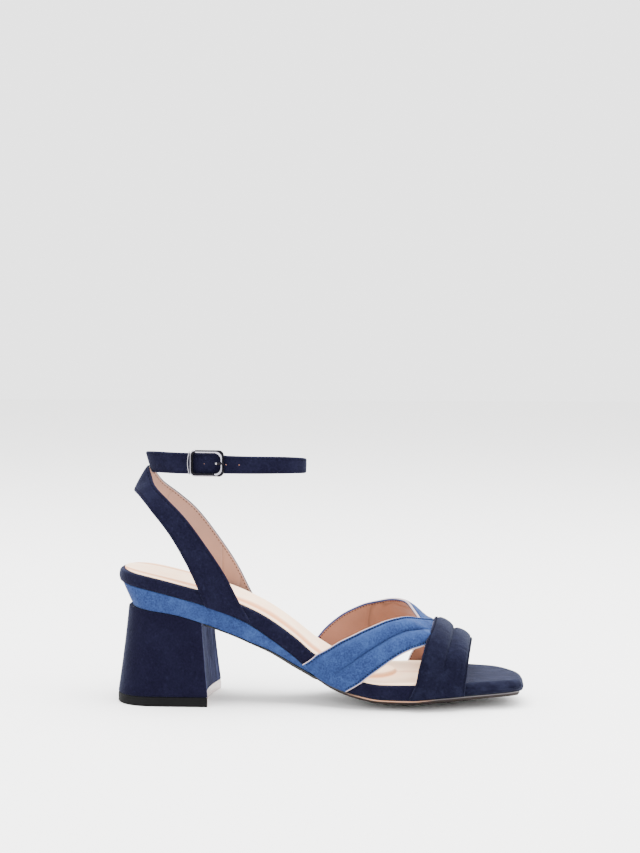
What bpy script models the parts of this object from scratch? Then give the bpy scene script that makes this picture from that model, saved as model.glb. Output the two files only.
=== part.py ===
# Block heel sandal, right shoe, standing unworn on a flat floor.
# Metres, +X to the toe, +Y to the inner side of the foot, +Z up.
# The origin is on the floor, under the middle of the block heel.
import math
from collections import namedtuple

import bmesh
import bpy
from mathutils import Vector

# Driving sizes of the sole
SOLE_LENGTH = 0.2405
SEAT_BACK = -0.031
BALL_WIDTH = 0.079
SEAT_RISE = 0.0652
WRAP_DEPTH = 0.0080
WEDGE_DEPTH = 0.0139
OUTSOLE_DEPTH = 0.0019
EDGE_LIFT = 0.0046
SOLE_CROWN = 0.0052
TOE_SPRING = 0.0037
SEAT_ROUND = 0.027
OUTER_TOE_ROUND = 0.0095
INNER_TOE_ROUND = 0.020
TOE_FLAT = 0.016
TOE_EDGE_ROUND = 0.0030
TOE_UNDER_ROUND = 0.0012
SIDE_EDGE_ROUND = 0.0006
SEAT_FULLNESS = 2.4
TOE_START = 0.84
OUTSOLE_INSET = 0.0010

# Driving sizes of the insole
INSOLE_INSET = 0.0010
INSOLE_THICKNESS = 0.0012
INSOLE_LENGTH = 0.201
PAD_HEIGHT = 0.0022
PAD_MARGIN = 0.0085
PAD_SLOPE = 0.0045
PAD_LENGTH = 0.164

# Driving sizes of the heel
HEEL_WIDTH = 0.062
HEEL_FLARE = 0.0048
HEEL_BACK = -0.0308
HEEL_BACK_FLARE = 0.0064
HEEL_BREAST = 0.0263
HEEL_BREAST_FLARE = 0.0041
HEEL_ROUND = 0.030
BREAST_HOLLOW = 0.0035
TOP_PIECE_THICKNESS = 0.0055
HEEL_FULLNESS = 2.6
HEEL_FRONT_TAPER = 0.03
FLARE_CURVE = 0.22
WEDGE_SIDE_TAPER = 0.0010
WEDGE_BACK_INSET = 0.0014
WEDGE_SHARE = 0.488
WEDGE_BLEND = 0.0040

# Driving sizes of the upper
STRAP_THICKNESS = 0.0018
STRAP_PADDING = 0.0016
BAND_THICKNESS = 0.0018
BAND_PADDING = 0.0019
SLING_THICKNESS = 0.0016
CREST_HEIGHT = 0.0585
LAST_FULLNESS = 2.2
SIDE_TURN = 0.04
PAD_TURN = 0.10
CHANNEL_FULLNESS = 0.6
BAND_COVER = 0.0030
ANKLE_LOOP_LENGTH = 0.0965
ANKLE_LOOP_WIDTH = 0.0440
ANKLE_LOOP_BACK = -0.0148
ANKLE_STRAP_HEIGHT = 0.1415
ANKLE_STRAP_WIDTH = 0.0104
ANKLE_STRAP_THICKNESS = 0.0020
ANKLE_BACK_LEAN = 0.33
SLING_HEIGHT = 0.1391
SLING_REACH = 0.0200
TAB_START = 0.43

# Driving sizes of the buckle
BUCKLE_LENGTH = 0.0202
BUCKLE_HEIGHT = 0.0156
BUCKLE_FROM_BACK = 0.0403
BUCKLE_BAR = 0.0019
BUCKLE_DEPTH = 0.0015
BUCKLE_RIDGE = 0.0006
BUCKLE_STANDOFF = 0.0007
BUCKLE_RAISE = 0.0004
BUCKLE_CORNER = 0.0030
BUCKLE_INNER_CORNER = 0.0019
BUCKLE_PIN = 0.0013
BUCKLE_ARM = 0.0011
BUCKLE_ARM_SINK = 0.0004
PRONG_DIAMETER = 0.0015
PRONG_HOLE = 0.0024
PRONG_SETBACK = 0.0028
PRONG_BEND = 0.0014
PRONG_OVERHANG = 0.0004

# Room left between pieces that touch
GAP = 0.0003

# Share of a length that stays as a narrow flat at a rounded end
END_SHARE = 0.0008

# Sections along the sole. along: share of the sole's length from the back of the seat;
# outer, inner: shares of the ball width to each side of the middle line;
# rise, spring: shares of the seat's rise and of the toe spring, for the wrap's lower edge;
# wrap, wedge, outsole, crown: shares of those named depths.
Section = namedtuple("Section", "along outer inner rise spring wrap wedge outsole crown")
SECTIONS = (
    Section(0.000, 0.320, 0.320, 1.000, 0.00, 0.95, 1.00, 0.40, 0.00),
    Section(0.079, 0.336, 0.336, 0.949, 0.00, 0.94, 0.89, 0.40, 0.00),
    Section(0.170, 0.342, 0.342, 0.867, 0.00, 0.95, 0.75, 0.40, 0.00),
    Section(0.254, 0.338, 0.330, 0.776, 0.00, 0.97, 0.78, 0.42, 0.00),
    Section(0.328, 0.300, 0.286, 0.652, 0.00, 1.13, 0.74, 0.48, 0.00),
    Section(0.387, 0.276, 0.266, 0.505, 0.00, 1.36, 0.50, 0.75, 0.00),
    Section(0.445, 0.266, 0.266, 0.343, 0.00, 1.42, 0.31, 1.00, 0.00),
    Section(0.495, 0.281, 0.310, 0.186, 0.00, 1.46, 0.06, 1.00, 0.00),
    Section(0.545, 0.323, 0.380, 0.087, 0.00, 1.24, 0.06, 1.00, 0.45),
    Section(0.599, 0.380, 0.470, 0.034, 0.00, 0.98, 0.12, 1.00, 0.85),
    Section(0.661, 0.421, 0.544, 0.003, 0.00, 0.99, 0.12, 1.00, 1.00),
    Section(0.732, 0.430, 0.570, 0.000, 0.02, 1.03, 0.12, 1.00, 1.00),
    Section(0.802, 0.396, 0.557, 0.000, 0.34, 0.97, 0.12, 1.00, 1.00),
    Section(0.877, 0.329, 0.519, 0.000, 0.60, 0.86, 0.12, 1.00, 0.90),
    Section(0.944, 0.266, 0.456, 0.000, 0.81, 0.78, 0.12, 1.00, 0.75),
    Section(1.000, 0.203, 0.354, 0.000, 1.00, 0.70, 0.12, 1.00, 0.60),
)

# The last's crest over the forefoot. along as above; height: share of CREST_HEIGHT.
Crest = namedtuple("Crest", "along height")
CRESTS = (
    Crest(0.420, 1.66),
    Crest(0.545, 1.38),
    Crest(0.630, 1.17),
    Crest(0.703, 1.00),
    Crest(0.752, 0.84),
    Crest(0.794, 0.710),
    Crest(0.852, 0.562),
    Crest(0.900, 0.46),
)

# Edges of the straps on the last. turn: share of the half turn from the outer foot of the
# last over its crest to the inner foot; rear, front: shares of the sole's length;
# lift: share of the strap's own thickness that it rides up on what is under it.
Edge = namedtuple("Edge", "turn rear front lift")
OUTER_STRAP = (
    Edge(0.000, 0.4665, 0.5775, 0.00),
    Edge(0.060, 0.5135, 0.6335, 0.00),
    Edge(0.130, 0.5630, 0.6915, 0.00),
    Edge(0.200, 0.6165, 0.7385, 0.25),
    Edge(0.260, 0.6620, 0.7740, 0.80),
    Edge(0.310, 0.6980, 0.7970, 0.95),
    Edge(0.420, 0.7505, 0.8350, 0.95),
    Edge(0.560, 0.7850, 0.8520, 0.95),
)
INNER_STRAP = (
    Edge(0.300, 0.7850, 0.8560, 0.00),
    Edge(0.380, 0.7600, 0.8560, 0.00),
    Edge(0.500, 0.7220, 0.8520, 0.00),
    Edge(0.600, 0.6990, 0.8380, 0.00),
    Edge(0.700, 0.6500, 0.7960, 0.00),
    Edge(0.780, 0.5920, 0.7420, 0.00),
    Edge(0.860, 0.5380, 0.6800, 0.00),
    Edge(0.940, 0.4950, 0.6120, 0.00),
    Edge(1.000, 0.4680, 0.5720, 0.00),
)
TOE_BAND = (
    Edge(0.000, 0.7270, 0.8590, 0.00),
    Edge(0.050, 0.7440, 0.8620, 0.00),
    Edge(0.110, 0.7500, 0.8650, 0.10),
    Edge(0.170, 0.7570, 0.8660, 0.90),
    Edge(0.220, 0.7625, 0.8680, 1.80),
    Edge(0.280, 0.7690, 0.8700, 2.25),
    Edge(0.400, 0.7790, 0.8730, 2.30),
    Edge(0.560, 0.7820, 0.8750, 2.30),
    Edge(0.620, 0.7790, 0.8750, 2.00),
    Edge(0.680, 0.7760, 0.8740, 1.50),
    Edge(0.760, 0.7680, 0.8720, 1.25),
    Edge(0.850, 0.7490, 0.8690, 0.60),
    Edge(0.930, 0.7190, 0.8660, 0.10),
    Edge(1.000, 0.7000, 0.8620, 0.00),
)

# Half of the heel sling, from its foot to the middle of the back. For its rear and front
# edge: ahead, aside and up are shares of SLING_REACH, of the seat's half width and of
# SLING_HEIGHT.
Rung = namedtuple("Rung", "turn rear_ahead rear_aside rear_up front_ahead front_aside front_up")
SLING = (
    Rung(0.000, 1.250, 1.035, 0.418, 2.560, 0.920, 0.356),
    Rung(0.120, 1.030, 1.030, 0.496, 2.240, 0.990, 0.443),
    Rung(0.300, 0.655, 1.000, 0.608, 1.831, 1.000, 0.557),
    Rung(0.500, 0.150, 0.960, 0.728, 1.228, 0.985, 0.687),
    Rung(0.680, -0.340, 0.860, 0.812, 0.606, 0.925, 0.802),
    Rung(0.800, -0.640, 0.690, 0.856, 0.130, 0.800, 0.866),
    Rung(0.900, -0.870, 0.430, 0.882, -0.340, 0.540, 0.929),
    Rung(0.955, -0.985, 0.230, 0.889, -0.475, 0.330, 0.966),
    Rung(0.980, -1.025, 0.110, 0.891, -0.575, 0.200, 0.994),
    Rung(1.000, -1.045, 0.000, 0.892, -0.626, 0.000, 1.000),
)

# Around the ankle strap, from its back over the outer side and the front to the inner side.
# width: share of ANKLE_STRAP_WIDTH; drop: how far its middle lies under ANKLE_STRAP_HEIGHT,
# as a share of the width; lean: share of ANKLE_BACK_LEAN.
Turn = namedtuple("Turn", "around width drop lean")
ANKLE_TURNS = (
    Turn(0.000, 1.20, 0.03, 1.0),
    Turn(0.100, 1.20, -0.04, 0.5),
    Turn(0.180, 1.07, -0.02, 0.0),
    Turn(0.270, 1.02, 0.00, 0.0),
    Turn(0.380, 0.96, 0.05, 0.0),
    Turn(0.500, 0.86, 0.17, 0.1),
    Turn(0.620, 0.84, 0.30, 0.0),
    Turn(0.750, 0.92, 0.28, 0.0),
    Turn(0.900, 1.10, 0.14, 0.5),
    Turn(1.000, 1.20, 0.03, 1.0),
)

# Finishes: name, colour, roughness, metallic
NAVY_SUEDE = ("navy_suede", (0.012, 0.018, 0.052), 0.95, 0.0)
BLUE_SUEDE = ("blue_suede", (0.085, 0.190, 0.430), 0.95, 0.0)
CREAM_LEATHER = ("cream_leather", (0.860, 0.750, 0.650), 0.50, 0.0)
SOLE_RUBBER = ("sole_rubber", (0.020, 0.019, 0.020), 0.60, 0.0)
GUNMETAL = ("gunmetal", (0.120, 0.120, 0.135), 0.25, 1.0)


def clear_scene():
    """Remove the objects that the file starts with."""
    for thing in list(bpy.data.objects):
        bpy.data.objects.remove(thing)


def finish_material(finish):
    """The one material of a finish, made on first use."""
    name, colour, roughness, metallic = finish
    material = bpy.data.materials.get(name)
    if material is None:
        material = bpy.data.materials.new(name)
        material.use_nodes = True
        shader = material.node_tree.nodes["Principled BSDF"]
        shader.inputs["Base Color"].default_value = (*colour, 1.0)
        shader.inputs["Roughness"].default_value = roughness
        shader.inputs["Metallic"].default_value = metallic
    return material


def add_object(name, mesh, finish, sharp_degrees=40.0):
    """Put a mesh in the scene as a smooth-shaded object."""
    mesh.materials.append(finish_material(finish))
    mesh.shade_smooth()
    mesh.set_sharp_from_angle(angle=math.radians(sharp_degrees))
    thing = bpy.data.objects.new(name, mesh)
    bpy.context.scene.collection.objects.link(thing)
    return thing


def read_curve(table, key, column, at):
    """Smooth value of a table's column at a place along its key column, without overshoot."""
    rows = sorted(table, key=lambda row: getattr(row, key))
    xs = [getattr(row, key) for row in rows]
    ys = [getattr(row, column) for row in rows]
    at = min(max(at, xs[0]), xs[-1])
    last = len(xs) - 1
    spans = [xs[i + 1] - xs[i] for i in range(last)]
    slopes = [(ys[i + 1] - ys[i]) / spans[i] for i in range(last)]
    index = 0
    while index < last - 1 and at > xs[index + 1]:
        index += 1

    def tangent(i):
        if i == 0:
            return slopes[0]
        if i == last:
            return slopes[-1]
        before, after = slopes[i - 1], slopes[i]
        if before * after <= 0.0:
            return 0.0
        return 2.0 * before * after / (before + after)

    t = (at - xs[index]) / spans[index]
    t2, t3 = t * t, t * t * t
    return ((2 * t3 - 3 * t2 + 1) * ys[index] + (t3 - 2 * t2 + t) * spans[index] * tangent(index)
            + (-2 * t3 + 3 * t2) * ys[index + 1] + (t3 - t2) * spans[index] * tangent(index + 1))


def from_end(u):
    """Share of a length, started at the narrow flat of a rounded end."""
    return END_SHARE + (1.0 - END_SHARE) * u


def soft_step(value):
    """Smooth step from 0 to 1."""
    value = min(max(value, 0.0), 1.0)
    return value * value * (3.0 - 2.0 * value)


def rounded(distance, radius, power=2.0):
    """Share of the full width at a distance from a rounded end."""
    inside = min(max(distance / radius, 0.0), 1.0)
    return (1.0 - (1.0 - inside) ** power) ** (1.0 / power)


def solid(steps, place, closed=False):
    """Mesh of the outside of a grid box whose corners are set by place(u, v, w).

    steps holds the shares along u, v and w. A closed solid joins its last u to its first.
    """
    shares_u, shares_v, shares_w = steps
    nu, nv, nw = len(shares_u), len(shares_v), len(shares_w)
    bm = bmesh.new()
    corners = {}

    def corner(i, j, k):
        i = i % nu if closed else i
        if (i, j, k) not in corners:
            corners[i, j, k] = bm.verts.new(place(shares_u[i], shares_v[j], shares_w[k]))
        return corners[i, j, k]

    def face(*places):
        bm.faces.new([corner(*place) for place in places])

    lengths = nu if closed else nu - 1
    for i in range(lengths):
        for j in range(nv - 1):
            for k in (0, nw - 1):
                face((i, j, k), (i + 1, j, k), (i + 1, j + 1, k), (i, j + 1, k))
        for k in range(nw - 1):
            for j in (0, nv - 1):
                face((i, j, k), (i + 1, j, k), (i + 1, j, k + 1), (i, j, k + 1))
    if not closed:
        for i in (0, nu - 1):
            for j in range(nv - 1):
                for k in range(nw - 1):
                    face((i, j, k), (i, j + 1, k), (i, j + 1, k + 1), (i, j, k + 1))
    bmesh.ops.recalc_face_normals(bm, faces=bm.faces[:])
    bmesh.ops.triangulate(bm, faces=bm.faces[:])
    mesh = bpy.data.meshes.new("solid")
    bm.to_mesh(mesh)
    bm.free()
    return mesh


def even(count):
    """Even shares from 0 to 1 in a number of steps."""
    return [i / count for i in range(count + 1)]


def eased(count):
    """Shares from 0 to 1 that crowd towards both ends."""
    return [0.4 * i / count + 0.6 * (0.5 - 0.5 * math.cos(math.pi * i / count)) for i in range(count + 1)]


def crowd_sides(count, edge_share):
    """Shares across a piece, with one narrow strip along each edge."""
    inner = [edge_share + (1.0 - 2.0 * edge_share) * i / count for i in range(count + 1)]
    return [0.0] + inner + [1.0]


# The sole's outline and levels

def along_of(x):
    """Share of the sole's length at a place x."""
    return (x - SEAT_BACK) / SOLE_LENGTH


def section(column, x):
    """A column of SECTIONS at a place x."""
    return read_curve(SECTIONS, "along", column, along_of(x))


def outline(x, side):
    """The wrap's side: y at a place x, on the outer (-1) or inner (+1) side."""
    width = BALL_WIDTH * section("outer" if side < 0 else "inner", x)
    width *= rounded(x - SEAT_BACK, SEAT_ROUND, SEAT_FULLNESS)
    to_tip = SEAT_BACK + SOLE_LENGTH - x
    corner = OUTER_TOE_ROUND if side < 0 else INNER_TOE_ROUND
    flat = TOE_FLAT / 2.0
    if to_tip < corner:
        width = flat + (width - flat) * rounded(to_tip, corner)
    return side * width


def across(x, share, inset=0.0):
    """y at a share of the way from the outer to the inner side, set in from both."""
    outer = outline(x, -1) + inset
    inner = outline(x, 1) - inset
    return outer + (inner - outer) * share


def wrap_base(x):
    """Lower edge of the suede wrap at the side."""
    low = EDGE_LIFT + OUTSOLE_DEPTH + GAP
    return low + SEAT_RISE * section("rise", x) + TOE_SPRING * section("spring", x)


def wrap_top(x):
    """Upper edge of the suede wrap at the side."""
    return wrap_base(x) + WRAP_DEPTH * section("wrap", x)


def wedge_base(x):
    """Lower edge of the wedge between wrap and heel."""
    return wrap_base(x) - GAP - WEDGE_DEPTH * section("wedge", x)


def crown(x, y):
    """How far the sole's middle hangs below its edge."""
    outer, inner = outline(x, -1), outline(x, 1)
    off_middle = min(abs(2.0 * (y - outer) / (inner - outer) - 1.0), 1.0)
    return SOLE_CROWN * section("crown", x) * (1.0 - off_middle ** 2)


WEDGE_FRONT = SEAT_BACK + WEDGE_SHARE * SOLE_LENGTH


def sole_top(x, y):
    """Upper face of the outsole."""
    under_wedge = wedge_base(x) - GAP
    under_wrap = wrap_base(x) - GAP
    blend = soft_step((x - WEDGE_FRONT - GAP) / WEDGE_BLEND)
    edge = under_wedge + (under_wrap - under_wedge) * blend
    thickness = OUTSOLE_DEPTH * section("outsole", x)
    return max(edge - crown(x, y), thickness)


def sole_bottom(x, y):
    """Lower face of the outsole, flat on the floor under the ball."""
    return max(sole_top(x, y) - OUTSOLE_DEPTH * section("outsole", x), 0.0)


def bed_height(x, y):
    """Upper face of the insole at a place, padding and all."""
    sides = min(y - outline(x, -1), outline(x, 1) - y) - INSOLE_INSET
    ends = min(x - SEAT_BACK, SEAT_BACK + PAD_LENGTH - x)
    pad = soft_step((min(sides, ends) - PAD_MARGIN) / PAD_SLOPE + 0.5)
    return wrap_top(x) + GAP + INSOLE_THICKNESS + PAD_HEIGHT * pad


def make_midsole():
    """The suede-wrapped platform under the foot."""
    def place(u, v, w):
        x = SEAT_BACK + SOLE_LENGTH * from_end(u)
        y = across(x, v)
        low = max(wrap_base(x) - crown(x, y), OUTSOLE_DEPTH + GAP)
        high = wrap_top(x)
        to_tip = SEAT_BACK + SOLE_LENGTH - x
        to_side = min(y - outline(x, -1), outline(x, 1) - y)
        at_toe = soft_step((u - TOE_START) / (0.5 * (1.0 - TOE_START)))
        edge = SIDE_EDGE_ROUND + (TOE_EDGE_ROUND - SIDE_EDGE_ROUND) * at_toe
        high -= edge * (1.0 - rounded(min(to_side, to_tip), edge))
        low += TOE_UNDER_ROUND * (1.0 - rounded(to_tip, TOE_EDGE_ROUND))
        return Vector((x, y, low + (high - low) * w))

    steps = (eased(54), [0.0, 0.035, 0.12, 0.28, 0.5, 0.72, 0.88, 0.965, 1.0], [0.0, 0.5, 1.0])
    add_object("midsole", solid(steps, place), NAVY_SUEDE)


def make_insole():
    """The leather sock with its padded middle."""
    def place(u, v, w):
        x = SEAT_BACK + INSOLE_INSET + INSOLE_LENGTH * from_end(u)
        y = across(x, v, INSOLE_INSET)
        low = wrap_top(x) + GAP
        return Vector((x, y, low + (bed_height(x, y) - low) * w))

    steps = (eased(46), crowd_sides(10, 0.02), [0.0, 1.0])
    add_object("insole", solid(steps, place), CREAM_LEATHER)


def make_wedge():
    """The lighter suede wedge between wrap and heel."""
    top_back = SEAT_BACK + WEDGE_BACK_INSET
    base_back = HEEL_BACK + HEEL_BACK_FLARE + GAP

    def place(u, v, w):
        back = base_back + (top_back - base_back) * w
        x = back + (WEDGE_FRONT - back) * from_end(u)
        shift = (back - SEAT_BACK) * (1.0 - u) ** 2
        inset = GAP + WEDGE_SIDE_TAPER * (1.0 - w)
        outer = outline(x - shift, -1) + inset
        inner = outline(x - shift, 1) - inset
        if outer > inner:
            outer = inner = 0.5 * (outer + inner)
        y = outer + (inner - outer) * v
        low = wedge_base(x)
        high = wrap_base(x) - GAP
        return Vector((x, y, low + (high - low) * w))

    steps = (eased(26), even(4), even(2))
    add_object("wedge", solid(steps, place), BLUE_SUEDE)


def make_outsole():
    """The thin outsole from the heel's breast to the toe."""
    tip = SEAT_BACK + SOLE_LENGTH - OUTSOLE_INSET

    def place(u, v, w):
        start = heel_breast(1.0, v) + GAP
        x = start + (tip - start) * u
        y = across(x, v, OUTSOLE_INSET)
        low, high = sole_bottom(x, y), sole_top(x, y)
        return Vector((x, y, low + (high - low) * w))

    steps = (eased(40), [0.0, 0.06, 0.16, 0.28, 0.42, 0.58, 0.72, 0.84, 0.94, 1.0], [0.0, 1.0])
    add_object("outsole", solid(steps, place), SOLE_RUBBER)


# The heel, flared to all sides

def flare(w):
    """Share of the heel's flare that is gone at a height share w."""
    return w * (1.0 + FLARE_CURVE * (1.0 - w))


def heel_breast(w, v):
    """x of the hollow front face of the heel."""
    hollow = BREAST_HOLLOW * (1.0 - (2.0 * v - 1.0) ** 2)
    return HEEL_BREAST - HEEL_BREAST_FLARE * flare(w) - hollow


def heel_place(u, v, w, level):
    """A point of the heel: u from back to breast, v across, w up, level(x, w) its height."""
    back = HEEL_BACK + HEEL_BACK_FLARE * flare(w)
    x = back + (heel_breast(w, v) - back) * from_end(u)
    half = HEEL_WIDTH / 2.0 - HEEL_FLARE * flare(w)
    half *= rounded(x - back, HEEL_ROUND, HEEL_FULLNESS) * (1.0 - HEEL_FRONT_TAPER * soft_step(u))
    return Vector((x, half * (2.0 * v - 1.0), level(x, w)))


def make_heel():
    """The suede-covered block and its rubber top piece."""
    foot = TOP_PIECE_THICKNESS + GAP

    def block_level(x, w):
        return foot + (wedge_base(x) - GAP - foot) * w

    def tip_level(_, w):
        return TOP_PIECE_THICKNESS * w

    steps = (eased(18), even(6), even(7))
    block = solid(steps, lambda u, v, w: heel_place(u, v, w, block_level))
    add_object("heel_block", block, NAVY_SUEDE)
    steps = (eased(18), even(6), [0.0, 1.0])
    tip = solid(steps, lambda u, v, w: heel_place(u, v, 0.0, lambda x, _: tip_level(x, w)))
    add_object("top_piece", tip, SOLE_RUBBER)


# The last and the straps that lie on it

def last_point(x, turn, out):
    """A point out from the last: turn 0 at its outer foot, 0.5 on its crest, 1 inside."""
    outer = outline(x, -1) - 2.0 * GAP - out
    inner = outline(x, 1) + 2.0 * GAP + out
    foot = wrap_base(x) + GAP
    shoulder = wrap_top(x) + GAP
    crest = CREST_HEIGHT * read_curve(CRESTS, "along", "height", along_of(x)) + out
    to_foot = min(turn, 1.0 - turn)
    if to_foot < SIDE_TURN:
        side = outer if turn < 0.5 else inner
        return Vector((x, side, foot + (shoulder - foot) * to_foot / SIDE_TURN))
    angle = math.pi * (turn - SIDE_TURN) / (1.0 - 2.0 * SIDE_TURN)
    swing = abs(math.cos(angle)) ** (2.0 / LAST_FULLNESS)
    lift = abs(math.sin(angle)) ** (2.0 / LAST_FULLNESS)
    y = 0.5 * (outer + inner) - 0.5 * (inner - outer) * math.copysign(swing, math.cos(angle))
    return Vector((x, y, shoulder + (crest - shoulder) * lift))


def channel(v, channels):
    """Height share of sewn, padded channels across a strap."""
    place = v * channels
    return abs(math.sin(math.pi * place)) ** CHANNEL_FULLNESS


def open_share(x, turn):
    """1 behind the toe band's rear edge, 0 under the band, where straps lie flat."""
    rear = SEAT_BACK + SOLE_LENGTH * read_curve(TOE_BAND, "turn", "rear", turn)
    return soft_step((rear - BAND_COVER - x) / BAND_COVER)


def strap_solid(edges, thickness, padding, steps_along, under_band, channels=2):
    """A padded strap on the last, between the rear and front edges of a table."""
    turns = [row.turn for row in edges]
    first, final = turns[0], turns[-1]

    def place(u, v, w):
        turn = first + (final - first) * u
        rear = read_curve(edges, "turn", "rear", turn)
        front = read_curve(edges, "turn", "front", turn)
        x = SEAT_BACK + SOLE_LENGTH * (rear + (front - rear) * v)
        ends = soft_step(min(abs(turn), abs(1.0 - turn)) / PAD_TURN)
        pad = padding * channel(v, channels) * ends
        if under_band:
            pad *= open_share(x, turn)
        lift = STRAP_THICKNESS * read_curve(edges, "turn", "lift", turn)
        return last_point(x, turn, lift + w * (thickness + pad))

    half = [0.0, 0.03, 0.12, 0.25, 0.38, 0.47]
    steps_v = half + [0.5] + [1.0 - share for share in reversed(half)]
    return solid((even(steps_along), steps_v, [0.0, 1.0]), place)


def make_cross_straps():
    """Two padded straps that cross under the toe band, joined there into one piece."""
    outer = add_object("cross_straps", strap_solid(
        OUTER_STRAP, STRAP_THICKNESS, STRAP_PADDING, 24, under_band=True), BLUE_SUEDE)
    inner = add_object("inner_strap_guide", strap_solid(
        INNER_STRAP, STRAP_THICKNESS, STRAP_PADDING, 28, under_band=True), BLUE_SUEDE)
    inner.hide_render = True
    inner.display_type = "WIRE"
    join = outer.modifiers.new("join", "BOOLEAN")
    join.operation = "UNION"
    join.solver = "EXACT"
    join.object = inner


def make_toe_band():
    """The padded band over the toes."""
    mesh = strap_solid(TOE_BAND, BAND_THICKNESS, BAND_PADDING, 34, under_band=False)
    add_object("toe_band", mesh, NAVY_SUEDE)


# The heel sling and the ankle strap

NORMAL_STEP = 0.002


def sheet_point(surface, u, v, out):
    """A point at a distance from a surface, along its normal."""
    step = NORMAL_STEP
    ahead = surface(u + step, v) - surface(u - step, v)
    aside = surface(u, v + step) - surface(u, v - step)
    return surface(u, v) + aside.cross(ahead).normalized() * out


def sling_surface(u, v):
    """Inner face of the sling: u from the outer foot round the back, v from rear to front."""
    turn = 1.0 - abs(1.0 - 2.0 * u)
    side = -1.0 if u < 0.5 else 1.0
    seat_half = BALL_WIDTH * SECTIONS[2].outer + GAP

    def edge(name):
        ahead = SLING_REACH * read_curve(SLING, "turn", name + "_ahead", turn)
        aside = seat_half * read_curve(SLING, "turn", name + "_aside", turn)
        up = SLING_HEIGHT * read_curve(SLING, "turn", name + "_up", turn)
        return Vector((ahead, side * aside, up))

    return edge("rear").lerp(edge("front"), v)


def make_heel_sling():
    """The sling round the back of the heel, one band from foot to foot."""
    def place(u, v, w):
        inside = NORMAL_STEP + (1.0 - 2.0 * NORMAL_STEP) * u
        return sheet_point(sling_surface, inside, v, SLING_THICKNESS * w)

    flank = [TAB_START * share for share in even(12)]
    tab = [TAB_START + (0.5 - TAB_START) * share for share in even(6)]
    half = flank + tab[1:]
    shares = half + [1.0 - share for share in reversed(half[:-1])]
    add_object("heel_sling", solid((shares, even(3), [0.0, 1.0]), place), NAVY_SUEDE)


def loop_middle(around, out):
    """Middle line of the ankle strap, seen from above, moved out by a distance."""
    angle = 2.0 * math.pi * around
    half_length = ANKLE_LOOP_LENGTH / 2.0
    half_width = ANKLE_LOOP_WIDTH / 2.0
    middle = ANKLE_LOOP_BACK + half_length
    here = Vector((-half_length * math.cos(angle), -half_width * math.sin(angle), 0.0))
    normal = Vector((here.x / half_length ** 2, here.y / half_width ** 2, 0.0)).normalized()
    return Vector((middle, 0.0, 0.0)) + here + normal * out


def ankle_point(around, v, out):
    """A point of the ankle strap: v from its lower to its upper edge, out from its outer face."""
    width = ANKLE_STRAP_WIDTH * read_curve(ANKLE_TURNS, "around", "width", around)
    drop = ANKLE_STRAP_WIDTH * read_curve(ANKLE_TURNS, "around", "drop", around)
    lean = ANKLE_BACK_LEAN * read_curve(ANKLE_TURNS, "around", "lean", around)
    up = width * (v - 0.5)
    point = loop_middle(around, out + lean * (up - width / 2.0))
    point.z = ANKLE_STRAP_HEIGHT - drop + up
    return point


def make_ankle_strap():
    """The closed strap round the ankle, with a hole for the prong."""
    def place(u, v, w):
        return ankle_point(u, v, ANKLE_STRAP_THICKNESS * (w - 1.0))

    shares = [i / 60 for i in range(60)]
    mesh = solid((shares, even(2), [0.0, 1.0]), place, closed=True)
    strap = add_object("ankle_strap", mesh, NAVY_SUEDE)
    hole = bpy.data.meshes.new("prong_hole")
    bm = bmesh.new()
    bmesh.ops.create_cone(bm, cap_ends=True, segments=12, radius1=PRONG_HOLE / 2.0,
                          radius2=PRONG_HOLE / 2.0, depth=0.02)
    bm.to_mesh(hole)
    bm.free()
    cutter = add_object("prong_hole", hole, NAVY_SUEDE)
    axes = buckle_axes()
    cutter.location = buckle_place(axes, prong_exit(), 0.0, 0.0)
    cutter.rotation_euler = axes["out"].to_track_quat("Z", "Y").to_euler()
    cutter.hide_render = True
    cutter.display_type = "WIRE"
    cut = strap.modifiers.new("prong_hole", "BOOLEAN")
    cut.operation = "DIFFERENCE"
    cut.solver = "EXACT"
    cut.object = cutter


# The buckle: a flat frame over the strap, with its middle pin behind the strap

def buckle_around():
    """Share around the loop at the middle of the buckle."""
    half = ANKLE_LOOP_LENGTH / 2.0
    x = BUCKLE_FROM_BACK - half
    return math.acos(-x / half) / (2.0 * math.pi)


def buckle_axes():
    """Middle of the buckle on the strap's outer face, and its three directions."""
    around = buckle_around()
    along = loop_middle(around + 0.01, 0.0) - loop_middle(around - 0.01, 0.0)
    along.normalize()
    up = Vector((0.0, 0.0, 1.0))
    middle = ankle_point(around, 0.5, 0.0) + up * BUCKLE_RAISE
    return {"middle": middle, "along": along, "up": up, "out": along.cross(up)}


def prong_exit():
    """How far ahead of the buckle's middle the prong comes through the strap."""
    return BUCKLE_LENGTH / 2.0 - BUCKLE_BAR - PRONG_SETBACK


def buckle_place(axes, along, up, out):
    """A point in the buckle's own directions."""
    return axes["middle"] + axes["along"] * along + axes["up"] * up + axes["out"] * out


def pin_depth():
    """How far in the buckle's pin lies, behind the strap."""
    return -(ANKLE_STRAP_THICKNESS + 2.0 * GAP + PRONG_DIAMETER / 2.0)


def rounded_box(half_along, half_up, corner, segments):
    """Outline of a rectangle with round corners, as (along, up) pairs."""
    points = []
    for quarter in range(4):
        centre_along = (half_along - corner) * (1 if quarter in (0, 3) else -1)
        centre_up = (half_up - corner) * (1 if quarter in (0, 1) else -1)
        for i in range(segments + 1):
            angle = math.pi / 2.0 * (quarter + i / segments)
            points.append((centre_along + corner * math.cos(angle), centre_up + corner * math.sin(angle)))
    return points


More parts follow.
